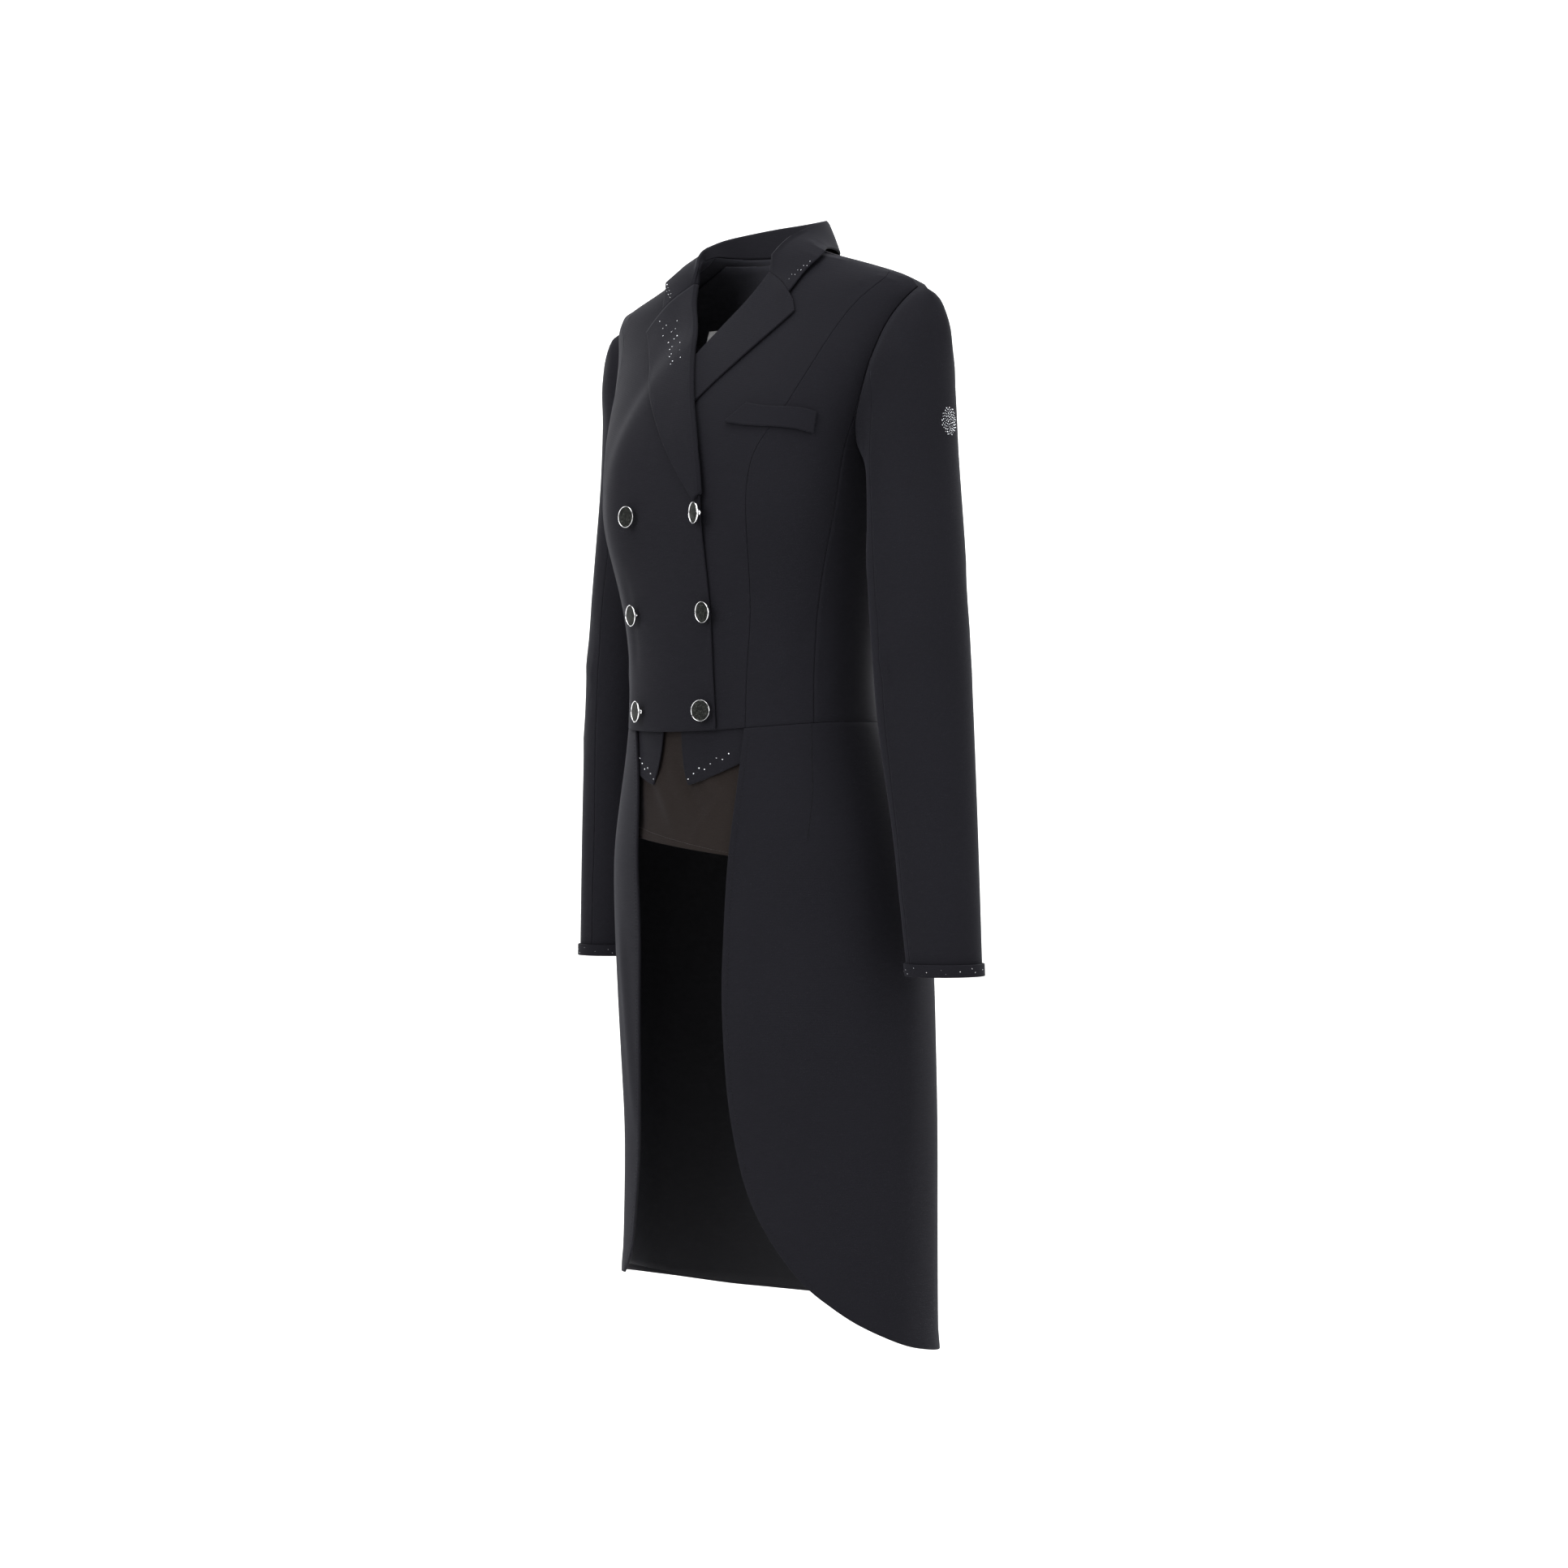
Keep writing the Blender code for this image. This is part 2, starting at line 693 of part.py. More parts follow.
def armhole(column):
    """A point of the armhole: 0 at the shoulder, 12 under the arm, by way of the front."""
    column %= SLEEVE_COLUMNS
    if column <= ARM_ROWS:
        row = front_seams(SHOULDER - column * (SHOULDER - ARMHOLE) / ARM_ROWS)
        return body(row[4], row[5])
    if column <= ARM_ROWS + UNDERARM_COLUMNS:
        return body(*underarm((column - ARM_ROWS) / UNDERARM_COLUMNS))
    up = column - ARM_ROWS - UNDERARM_COLUMNS
    row = back_seams(ARMHOLE + up * (SHOULDER - ARMHOLE) / ARM_ROWS)
    return body(row[1], row[2])


def sleeve_ring(column, height):
    x, y, across, deep = sleeve_level(height)
    turn = 2 * math.pi * column / SLEEVE_COLUMNS
    return Vector((x + across * math.cos(turn), y - deep * math.sin(turn), height))


def sleeve_face(column, row):
    """A sleeve's face: row 0 at the armhole, HEAD_ROWS where its head becomes a tube."""
    turn = 2 * math.pi * column / SLEEVE_COLUMNS
    top = (1 + math.cos(turn)) / 2
    head_end = HEAD_END + HEAD_TILT * math.cos(turn)
    if row >= HEAD_ROWS:
        height = mix(head_end, SLEEVE_END, (row - HEAD_ROWS) / SLEEVE_ROWS)
        return sleeve_ring(column, height)
    lateral = mix(0.65, 0.95, top)
    leave = Vector((lateral, -0.30 * math.sin(turn), -mix(0.64, 0.20, top))).normalized()
    start = armhole(column) + leave * ARMHOLE_SEAM
    end = sleeve_ring(column, head_end)
    points = (
        start,
        start + leave * mix(0.008, 0.028, top),
        end + Vector((0, 0, mix(0.012, 0.090, top))),
        end,
    )
    t = row / HEAD_ROWS
    weights = ((1 - t) ** 3, 3 * t * (1 - t) ** 2, 3 * t * t * (1 - t), t**3)
    return sum((point * w for point, w in zip(points, weights)), Vector())


def sleeve_wall(column, row, out):
    down = sleeve_face(column, row + 0.1) - sleeve_face(column, max(row - 0.1, 0))
    around = sleeve_face(column + 0.2, row) - sleeve_face(column - 0.2, row)
    return sleeve_face(column, row) + around.cross(down).normalized() * out


def sleeve_panel(first, last):
    """The part of a sleeve between two of its columns, counted by way of the front."""

    def place(u, v, under):
        column, row = mix(first, last, u), mix(HEAD_ROWS + SLEEVE_ROWS, 0, v)
        return sleeve_wall(column, row, -under * CLOTH)

    return place


def add_cuff(name, mirrored):
    """A band round the sleeve's end, closed into a ring."""
    bm = bmesh.new()
    heights = (CUFF_TOP, CUFF_END, CUFF_END, CUFF_TOP)
    outs = (CUFF_OUT, CUFF_OUT, 0.0004, 0.0004)
    loops = []
    for height, out in zip(heights, outs):
        loop = []
        for column in range(SLEEVE_COLUMNS):
            point = sleeve_ring(column, height)
            x, y, _, _ = sleeve_level(height)
            away = (point - Vector((x, y, height))).normalized()
            loop.append(bm.verts.new(point + away * out))
        loops.append(
            [bm.edges.new((a, b)) for a, b in zip(loop, loop[1:] + loop[:1])]
        )
    for one, other in zip(loops, loops[1:] + loops[:1]):
        bmesh.ops.bridge_loops(bm, edges=one + other)
    add_object(name, bm, "cloth", mirrored)


def waistcoat_point(u, v, under):
    top_angle, end_angle, end = point_lines(u)
    angle, height = mix(end_angle, top_angle, v), mix(end, WAISTCOAT_POINT_TOP, v)
    return body(angle, height, WAISTCOAT_POINT_OUT - under * WAISTCOAT_POINT_CLOTH)


def inner_panel(u, v, under):
    angle = mix(-INNER_PANEL_ANGLE, INNER_PANEL_ANGLE, u)
    height = mix(INNER_PANEL_HEM - INNER_PANEL_SLANT * angle, INNER_PANEL_TOP, v)
    return body(angle, height, INNER_PANEL_OUT - under * INNER_PANEL_CLOTH)


def back_lining(u, v, under):
    """Lines the back as far round as the armholes, which cut into it."""

    def reach(v):
        height = mix(BACK_LINING_END, BACK_LINING_TOP, v)
        narrow = mix(34.0, BACK_LINING_ANGLE, ease(-0.225, -0.120, height))
        wide = mix(narrow, 74.0, ease(-0.050, -0.010, height))
        return wide if height > -0.120 else narrow

    turn = mix(-reach(v), reach(v), u)
    height = mix(BACK_LINING_END, BACK_LINING_TOP, v)
    return body(180 + turn, height, LINING_OUT - under * LINING)


def pocket_welt(u, v, under):
    angle = mix(mix(WELT[0][0], WELT[1][0], u), mix(WELT[0][2], WELT[1][2], u), v)
    height = mix(mix(WELT[0][1], WELT[1][1], u), mix(WELT[0][3], WELT[1][3], u), v)
    height -= WELT_SAG * math.sin(2 * math.pi * u)
    return body(angle, height, WELT_OUT - under * WELT_CLOTH)


def neck_label(u, v, under):
    angle, height = mix(LABEL[0], LABEL[1], u), mix(LABEL[2], LABEL[3], v)
    return body(angle, height, LABEL_OUT - under * LABEL_CLOTH)


def add_button(name, x, height, turn):
    """Turned on its shank, then set on the right front, square to the cloth or nearly so."""
    bm = bmesh.new()
    verts = [bm.verts.new((radius, 0, rise)) for radius, rise in BUTTON_PROFILE]
    edges = [bm.edges.new(pair) for pair in zip(verts, verts[1:])]
    bmesh.ops.spin(
        bm,
        geom=verts + edges,
        axis=(0, 0, 1),
        cent=(0, 0, 0),
        angle=2 * math.pi,
        steps=BUTTON_STEPS,
        use_merge=True,
    )
    bmesh.ops.remove_doubles(bm, verts=bm.verts, dist=1e-6)
    angle = angle_at(x, height)
    # The right front is the mirror of the left, so its lap is read at the opposite angle
    out = lap(-angle, height) + BUTTON_GAP
    foot = body(angle, height, out)
    square = (body(angle, height, 0.01) - body(angle, height)).normalized()
    facing = square.to_track_quat("Z", "Y").to_matrix().to_4x4()
    bmesh.ops.transform(bm, matrix=facing, verts=bm.verts)
    bmesh.ops.rotate(bm, cent=(0, 0, 0), matrix=turn_about_z(turn), verts=bm.verts)
    bmesh.ops.translate(bm, vec=foot + square * abs(turn) * 0.00002, verts=bm.verts)
    add_object(name, bm, "button")


def turn_about_z(degrees):
    angle = math.radians(degrees)
    return (
        Vector((1, 0, 0)).rotation_difference(
            Vector((math.cos(angle), math.sin(angle), 0))
        )
    ).to_matrix()


def build():
    for obj in list(bpy.data.objects):
        bpy.data.objects.remove(obj, do_unlink=True)
    rows = BODY_ROWS + ARM_ROWS
    for side, right in (("left", False), ("right", True)):
        sew(f"front_{side}", front_panel(right), FRONT_COLUMNS, rows, mirrored=right)
        sew(f"side_front_{side}", side_front_panel, SIDE_FRONT_COLUMNS, rows, mirrored=right)
        sew(f"side_body_{side}", side_body_panel, UNDERARM_COLUMNS, BODY_ROWS, mirrored=right)
        sew(f"back_{side}", back_panel, BACK_COLUMNS, rows + RIDGE_ROWS, mirrored=right)
        sew(f"tail_{side}", tail_panel(right), TAIL_COLUMNS, TAIL_ROWS, mirrored=right)
        sew(f"tail_lining_{side}", tail_lining(right), 12, 14, "lining", right)
        sew(
            f"lapel_{side}",
            lapel_panel(right),
            LAPEL_COLUMNS + len(LAPEL_ROLL) - 1,
            LAPEL_ROWS,
            mirrored=right,
        )
        sew(f"top_sleeve_{side}", sleeve_panel(-8, 8), 16, HEAD_ROWS + SLEEVE_ROWS, mirrored=right)
        sew(f"under_sleeve_{side}", sleeve_panel(8, 20), 12, HEAD_ROWS + SLEEVE_ROWS, mirrored=right)
        add_cuff(f"cuff_{side}", right)
        sew(f"waistcoat_point_{side}", waistcoat_point, 6, 3, mirrored=right)
    sew("collar", collar_panel, COLLAR_COLUMNS, COLLAR_ROWS)
    sew("back_lining", back_lining, 16, 14, "lining")
    sew("inner_panel", inner_panel, 16, 5, "inner_panel")
    sew("pocket_welt", pocket_welt, 8, 2)
    sew("neck_label", neck_label, 2, 2, "label")
    for button in BUTTONS:
        add_button(*button)


build()
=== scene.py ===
import bmesh
import bpy
import math
import numpy as np
from mathutils import Matrix, Vector
from mathutils.bvhtree import BVHTree
from mathutils.kdtree import KDTree


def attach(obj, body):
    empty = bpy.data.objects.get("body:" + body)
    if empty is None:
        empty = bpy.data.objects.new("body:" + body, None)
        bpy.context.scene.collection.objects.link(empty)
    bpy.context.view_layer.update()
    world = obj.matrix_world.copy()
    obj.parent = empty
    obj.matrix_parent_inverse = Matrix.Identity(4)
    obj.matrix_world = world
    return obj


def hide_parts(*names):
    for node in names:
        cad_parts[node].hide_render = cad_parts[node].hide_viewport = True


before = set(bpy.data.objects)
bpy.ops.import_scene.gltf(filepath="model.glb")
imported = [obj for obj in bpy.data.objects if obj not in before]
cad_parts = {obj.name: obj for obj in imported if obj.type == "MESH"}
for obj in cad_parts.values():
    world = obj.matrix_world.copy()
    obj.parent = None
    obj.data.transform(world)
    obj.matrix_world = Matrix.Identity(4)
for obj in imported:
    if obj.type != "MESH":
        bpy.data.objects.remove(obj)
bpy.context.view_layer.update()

# Camera, set as for the photograph: level with the waist, to the wearer's left, with a
# long lens. The whole coat stands in a square frame.
CAMERA_TURN = math.radians(50)
CAMERA_AWAY = 3.4
CAMERA_ASIDE = 0.029
CAMERA_HEIGHT = -0.479
SENSOR = 36
LENS = 83.7
PHOTO_SIZE = 1932
HORIZON_ABOVE_MIDDLE = 21
away = Vector((math.sin(CAMERA_TURN), -math.cos(CAMERA_TURN), 0))
aside = Vector((math.cos(CAMERA_TURN), math.sin(CAMERA_TURN), 0))
camera = bpy.data.objects.new("camera", bpy.data.cameras.new("camera"))
camera.data.sensor_width = SENSOR
camera.data.lens = LENS
camera.data.shift_y = -HORIZON_ABOVE_MIDDLE / PHOTO_SIZE
camera.location = away * CAMERA_AWAY + aside * CAMERA_ASIDE + Vector((0, 0, CAMERA_HEIGHT))
camera.rotation_euler = (-away).to_track_quat("-Z", "Y").to_euler()
bpy.context.scene.collection.objects.link(camera)
bpy.context.scene.camera = camera

# Body of the coat: fronts, side fronts, side bodies and backs in a matt black stretch
# softshell with a blue-grey cast. The panels are cut singly and meet at pressed open
# seams, so each edge is turned under with a small round.
BLACK_DARK = (0.0048, 0.0047, 0.0066)
BLACK_LIGHT = (0.0070, 0.0068, 0.0094)
# Name, levels of smoothing, flat width and length, and area
BODY_PANELS = (
    ("front_left", 3, 0.172, 0.500, 0.0712),
    ("front_right", 3, 0.175, 0.505, 0.0724),
    ("side_front_left", 3, 0.089, 0.449, 0.0270),
    ("side_front_right", 3, 0.089, 0.449, 0.0270),
    ("side_body_left", 2, 0.133, 0.277, 0.0291),
    ("side_body_right", 2, 0.133, 0.277, 0.0291),
    ("back_left", 2, 0.231, 0.491, 0.0669),
    ("back_right", 2, 0.231, 0.491, 0.0669),
)
# How far a cut edge is rounded, and the turns in degrees that make an edge of the solid
# a turned one, a corner of the outline, or a rim once it is rounded
EDGE_ROUND = 0.00035
TURNED_EDGE = 50
CORNER_TURN = 28
RIM_TURN = 22
# An edge shorter than this runs through the wall
WALL = 0.0026
# A corner of the outline is held this crisp, out to this many times the edge's round, but
# one at a hem is rounded this far instead
CORNER_HELD = 0.9
CORNER_REACH = 2.2
HEM_CORNER = 0.010
# Points nearer than this are one, and triangles that lie this flat are joined
WELD = 2e-5
FLAT_TURN = 0.6
ANY_SHAPE = 3.1
# Lower than any point of the coat
LOWEST = -9.0
# Soft folds on the body: angle from the front and height where each starts and ends,
# half width and how far it stands out or sinks, in metres
BODY_FOLDS = (
    (62.0, -0.165, 57.0, -0.235, 0.0130, -0.0007),
    (66.0, -0.365, 47.0, -0.410, 0.0110, 0.0009),
    (75.0, -0.330, 60.0, -0.385, 0.0090, -0.0007),
    (82.0, -0.395, 71.0, -0.425, 0.0080, 0.0008),
    (31.0, -0.300, 28.0, -0.420, 0.0100, 0.0007),
    (-31.0, -0.290, -27.0, -0.400, 0.0100, -0.0007),
    (-60.0, -0.170, -54.0, -0.240, 0.0130, -0.0005),
    (-70.0, -0.360, -48.0, -0.405, 0.0100, 0.0009),
    (108.0, -0.350, 122.0, -0.410, 0.0090, 0.0010),
    (-110.0, -0.345, -124.0, -0.405, 0.0090, 0.0009),
    (140.0, -0.240, 140.0, -0.580, 0.0330, 0.0042),
    (-140.0, -0.240, -140.0, -0.580, 0.0330, 0.0042),
    (148.0, -0.130, 158.0, -0.230, 0.0150, -0.0011),
    (-150.0, -0.140, -160.0, -0.240, 0.0150, -0.0012),
    (166.0, -0.330, 150.0, -0.395, 0.0100, 0.0009),
    (-164.0, -0.340, -149.0, -0.400, 0.0090, 0.0008),
)
# Radius at which an angle is measured as a length, and depth of the coat's middle
FOLD_RADIUS = 0.145
BODY_MIDDLE = 0.012
# A fold rises and dies away over this share of its length, but one that ends below this
# height runs out over the hem
FOLD_FADE = 0.3
HEM_HEIGHT = -0.93
# A face looks in when it turns this far from the way out, which leans up above this
# height, on the shoulders
INWARD = 0.35
BELOW_SHOULDERS = -0.15


def softshell(name, dark, light, roughness, sheen):
    """Brushed stretch cloth: a fine pebble and rib, and faint cloudy wear."""
    material = bpy.data.materials.new(name)
    material.use_nodes = True
    nodes, links = material.node_tree.nodes, material.node_tree.links
    shader = nodes["Principled BSDF"]
    shader.inputs["Roughness"].default_value = roughness
    shader.inputs["Specular IOR Level"].default_value = 0.10
    shader.inputs["Sheen Weight"].default_value = sheen
    shader.inputs["Sheen Roughness"].default_value = 0.45
    shader.inputs["Sheen Tint"].default_value = (0.55, 0.56, 0.68, 1)
    place = nodes.new("ShaderNodeTexCoord")
    cloud = nodes.new("ShaderNodeTexNoise")
    cloud.inputs["Scale"].default_value = 7
    cloud.inputs["Detail"].default_value = 4
    pebble = nodes.new("ShaderNodeTexNoise")
    pebble.inputs["Scale"].default_value = 1300
    pebble.inputs["Detail"].default_value = 2
    rib = nodes.new("ShaderNodeTexWave")
    rib.bands_direction = "Z"
    rib.inputs["Scale"].default_value = 230
    rib.inputs["Distortion"].default_value = 1.2
    rib.inputs["Detail Scale"].default_value = 3
    fleck = nodes.new("ShaderNodeMath")
    fleck.operation = "MULTIPLY_ADD"
    fleck.inputs[1].default_value = 0.35
    shade = nodes.new("ShaderNodeMix")
    shade.data_type = "RGBA"
    shade.inputs[6].default_value = (*dark, 1)
    shade.inputs[7].default_value = (*light, 1)
    weave = nodes.new("ShaderNodeMath")
    weave.operation = "MULTIPLY_ADD"
    weave.inputs[1].default_value = 0.4
    bump = nodes.new("ShaderNodeBump")
    bump.inputs["Strength"].default_value = 0.35
    bump.inputs["Distance"].default_value = 0.0003
    for texture in (cloud, pebble, rib):
        links.new(place.outputs["Object"], texture.inputs["Vector"])
    links.new(pebble.outputs["Fac"], fleck.inputs[0])
    links.new(cloud.outputs["Fac"], fleck.inputs[2])
    links.new(fleck.outputs["Value"], shade.inputs["Factor"])
    links.new(rib.outputs["Fac"], weave.inputs[0])
    links.new(pebble.outputs["Fac"], weave.inputs[2])
    links.new(weave.outputs["Value"], bump.inputs["Height"])
    links.new(shade.outputs[2], shader.inputs["Base Color"])
    links.new(bump.outputs["Normal"], shader.inputs["Normal"])
    return material


def refined(node, levels, cloth, turned_edge=TURNED_EDGE, edge_round=EDGE_ROUND, hem=LOWEST):
    """The solid of one cut piece in its cloth, its edges turned and its facets smoothed."""
    bm = bmesh.new()
    bm.from_mesh(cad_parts[node].data)
    bmesh.ops.remove_doubles(bm, verts=bm.verts, dist=WELD)
    bmesh.ops.join_triangles(
        bm,
        faces=bm.faces[:],
        angle_face_threshold=FLAT_TURN,
        angle_shape_threshold=ANY_SHAPE,
    )
    hem_corners = [
        e
        for e in bm.edges
        if e.calc_length() < WALL
        and e.calc_face_angle(0) > math.radians(turned_edge)
        and e.verts[0].co.z < hem
    ]
    bmesh.ops.bevel(
        bm,
        geom=hem_corners,
        offset=HEM_CORNER,
        segments=3,
        profile=0.5,
        affect="EDGES",
        material=-1,
    )
    edges = [e for e in bm.edges if e.calc_face_angle(0) > math.radians(turned_edge)]
    corners = [
        vert.co.copy()
        for e in bm.edges
        if e.calc_length() < WALL
        and e.calc_face_angle(0) > math.radians(CORNER_TURN)
        and e.verts[0].co.z > hem
        for vert in e.verts
    ]
    bmesh.ops.bevel(
        bm,
        geom=edges,
        offset=edge_round,
        offset_type="OFFSET",
        segments=1,
        profile=0.5,
        affect="EDGES",
        material=-1,
    )
    rim = bm.edges.layers.float.new("crease_edge")
    for edge in bm.edges:
        if edge.calc_face_angle(0) > math.radians(RIM_TURN):
            edge[rim] = 1.0
    held = bm.verts.layers.float.new("crease_vert")
    for vert in bm.verts:
        if any((vert.co - corner).length < edge_round * CORNER_REACH for corner in corners):
            vert[held] = CORNER_HELD
    mesh = bpy.data.meshes.new(node + "_cloth")
    bm.to_mesh(mesh)
    bm.free()
    piece = bpy.data.objects.new(node + "_cloth", mesh)
    bpy.context.scene.collection.objects.link(piece)
    smoother = piece.modifiers.new("smoother", "SUBSURF")
    smoother.levels = smoother.render_levels = levels
    graph = bpy.context.evaluated_depsgraph_get()
    piece.data = bpy.data.meshes.new_from_object(piece.evaluated_get(graph))
    piece.modifiers.clear()
    piece.data.materials.clear()
    piece.data.materials.append(cloth)
    piece.data.shade_smooth()
    return piece


def points_of(mesh):
    """The places of a mesh's points, one in each row."""
    points = np.empty(len(mesh.vertices) * 3)
    mesh.vertices.foreach_get("co", points)
    return points.reshape(-1, 3)


def place_points(mesh, points):
    """Puts a mesh's points at these places."""
    mesh.vertices.foreach_set("co", points.ravel())
    mesh.update()


def beside(spots, start, run):
    """What share of a fold's line lies before each spot, and how far off it the spot is."""
    spots = spots - start
    share = np.clip(spots @ run / (run @ run), 0, 1)
    return share, np.linalg.norm(spots - share[:, None] * run, axis=1)


def fold(piece, folds):
    """Raises and sinks soft folds, the same on a piece and on what lies behind it."""
    points = points_of(piece.data)
    around = np.arctan2(points[:, 0], BODY_MIDDLE - points[:, 1])
    spots = np.stack([around * FOLD_RADIUS, points[:, 2]], axis=1)
    moved = np.zeros(len(points))
    for angle, height, end_angle, end_height, half_width, out in folds:
        start = np.array([math.radians(angle) * FOLD_RADIUS, height])
        run = np.array([math.radians(end_angle) * FOLD_RADIUS, end_height]) - start
        share, off = beside(spots, start, run)
        fade = np.clip(share / FOLD_FADE, 0, 1)
        if end_height > HEM_HEIGHT:
            fade = fade * np.clip((1 - share) / FOLD_FADE, 0, 1)
        fade = fade * fade * (3 - 2 * fade)
        moved += out * fade * np.exp(-((off / half_width) ** 2))
    outward = np.stack([np.sin(around), -np.cos(around)], axis=1)
    points[:, :2] += outward * moved[:, None]
    place_points(piece.data, points)


def lighten_inside(piece, cloth, above=LOWEST):
    """Gives another cloth, painted lighter to offset the shade inside the coat, to the faces that
    look in at the wearer, but not to the rims.
    """
    piece.data.materials.append(cloth)
    for face in piece.data.polygons:
        spot = face.center
        out = Vector((spot.x, spot.y - BODY_MIDDLE, max(spot.z - BELOW_SHOULDERS, 0)))
        if spot.z > above and face.normal.dot(out) < -INWARD * out.length:
            face.material_index = 1


black_cloth = softshell(
    "black softshell", BLACK_DARK, BLACK_LIGHT, roughness=0.88, sheen=0.045
)
# Inside the neck, the faces that look in are painted lighter to offset the shade there, down to
# this height
NECK_DARK = (0.026, 0.026, 0.032)
NECK_LIGHT = (0.037, 0.037, 0.045)
NECK_LIGHTER_DOWN_TO = -0.095
neck_painted_lighter = softshell("neck cloth painted lighter for shade", NECK_DARK, NECK_LIGHT, roughness=0.8, sheen=0.08)
for name, levels, width, length, area in BODY_PANELS:
    panel = refined(name, levels, black_cloth)
    fold(panel, BODY_FOLDS)
    lighten_inside(panel, neck_painted_lighter, NECK_LIGHTER_DOWN_TO)
    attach(panel, "root")
    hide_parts(name)

# Tails, in the same softshell, sewn to the waist seam and hanging free below it. The left
# one laps the right one at the middle of the back, and both fall in soft flutes.
# The lining's colours are painted lighter than the softshell's, to offset the shade inside the
# coat
LINING_DARK = (0.0054, 0.0054, 0.0064)
LINING_LIGHT = (0.0082, 0.0082, 0.0098)
# Folds that hang from the waist seam to the hem of the tails, in the same columns
TAIL_FOLDS = (
    (140.0, -0.240, 140.0, -0.580, 0.0330, 0.0042),
    (-140.0, -0.240, -140.0, -0.580, 0.0330, 0.0042),
    (151.0, -0.600, 146.0, -1.010, 0.0200, 0.0036),
    (166.0, -0.560, 163.0, -1.000, 0.0130, -0.0026),
    (128.0, -0.640, 123.0, -0.990, 0.0180, -0.0022),
    (99.0, -0.560, 92.0, -0.980, 0.0190, 0.0026),
    (73.0, -0.620, 66.0, -0.940, 0.0150, -0.0018),
    (46.0, -0.560, 40.0, -0.820, 0.0140, 0.0016),
    (-152.0, -0.620, -148.0, -0.990, 0.0190, 0.0034),
    (-166.0, -0.570, -161.0, -0.990, 0.0120, -0.0024),
    (-127.0, -0.600, -121.0, -0.980, 0.0190, -0.0024),
    (-98.0, -0.580, -93.0, -0.960, 0.0180, 0.0027),
    (-72.0, -0.560, -67.0, -0.930, 0.0150, -0.0020),
    (-46.0, -0.600, -42.0, -0.840, 0.0130, 0.0017),
)
# The outline's corners below this height are rounded
TAIL_HEM = -0.9
lining_lightened_for_shade = softshell("black lining painted lighter for shade", LINING_DARK, LINING_LIGHT, roughness=0.7, sheen=0.05)
TAILS = (("tail_left", 3, 0.434, 0.600, 0.2257), ("tail_right", 3, 0.447, 0.563, 0.2267))
for name, levels, width, length, area in TAILS:
    tail = refined(name, levels, black_cloth, hem=TAIL_HEM)
    fold(tail, TAIL_FOLDS)
    # The tails' inner faces take the lining cloth, painted lighter to offset the shade inside them
    lighten_inside(tail, lining_lightened_for_shade)
    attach(tail, "root")
    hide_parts(name)

# Linings of the tails and the back, a thin smooth black cloth with a faint sheen, sewn in
# behind the softshell and seen inside the cutaway and through the neck. Their colour is
# painted lighter than the softshell's, to offset the shade inside the coat.
LININGS = (
    ("tail_lining_left", 2, 0.343, 0.587, 0.1730),
    ("tail_lining_right", 2, 0.356, 0.563, 0.1738),
    ("back_lining", 2, 0.385, 0.328, 0.0853),
)
# Thin cloth has a sharper edge
THIN_EDGE = 0.0003
# The tail linings hang lower by this at their hem, from this height down, over this length
HEM_DROP = 0.006
HEM_DROP_FROM = -0.80
HEM_DROP_OVER = 0.10
for name, levels, width, length, area in LININGS:
    lining = refined(name, levels, lining_lightened_for_shade, edge_round=THIN_EDGE)
    if name != "back_lining":
        for vert in lining.data.vertices:
            vert.co.z -= HEM_DROP * min(max((HEM_DROP_FROM - vert.co.z) / HEM_DROP_OVER, 0), 1)
    fold(lining, BODY_FOLDS if name == "back_lining" else TAIL_FOLDS)
    # The back lining's inner faces are painted lighter, to offset the shade inside the neck
    if name == "back_lining":
        lighten_inside(lining, neck_painted_lighter)
    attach(lining, "root")
    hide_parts(name)

# Sleeves, each a top sleeve and an under sleeve sewn into a tube and set into the
# armhole. They hang straight, with soft folds at the crook of the elbow and the cuff.
SLEEVES = (
    ("top_sleeve_left", 0.150, 0.620, 0.0841),
    ("top_sleeve_right", 0.150, 0.620, 0.0841),
    ("under_sleeve_left", 0.116, 0.546, 0.0555),
    ("under_sleeve_right", 0.116, 0.546, 0.0555),
)
# Middle line of a sleeve: height, distance from the coat's middle, depth
SLEEVE_LINE = (
    (-0.664, 0.2412, 0.0215),
    (-0.530, 0.2310, 0.0208),
    (-0.400, 0.2193, 0.0205),
    (-0.300, 0.2080, 0.0225),
    (-0.185, 0.1925, 0.0238),
)
SLEEVE_RADIUS = 0.039
# Turn about the sleeve from its outer side towards the front, and height, where each
# fold starts and ends, half width and height, in metres
SLEEVE_FOLDS = (
    (60.0, -0.330, 118.0, -0.372, 0.0085, -0.0014),
    (48.0, -0.362, 112.0, -0.402, 0.0075, 0.0013),
    (66.0, -0.398, 124.0, -0.420, 0.0080, -0.0012),
    (20.0, -0.420, 80.0, -0.470, 0.0100, 0.0009),
    (150.0, -0.250, 105.0, -0.330, 0.0090, 0.0012),
    (-60.0, -0.380, -120.0, -0.420, 0.0100, 0.0012),
    (-40.0, -0.300, -95.0, -0.360, 0.0110, -0.0010),
    (70.0, -0.560, 120.0, -0.610, 0.0090, 0.0008),
    (130.0, -0.215, 130.0, -0.560, 0.0240, 0.0054),
    (0.0, -0.110, 6.0, -0.210, 0.0130, 0.0009),
    (62.0, -0.110, 84.0, -0.190, 0.0100, -0.0012),
    (-70.0, -0.110, -92.0, -0.200, 0.0110, -0.0012),
)
# The same folds slip a little the other way on each sleeve, round it and along it, and
# rise and die away over this share of their length
FOLD_SLIP = (4, 0.002)
SLEEVE_FADE = 0.4
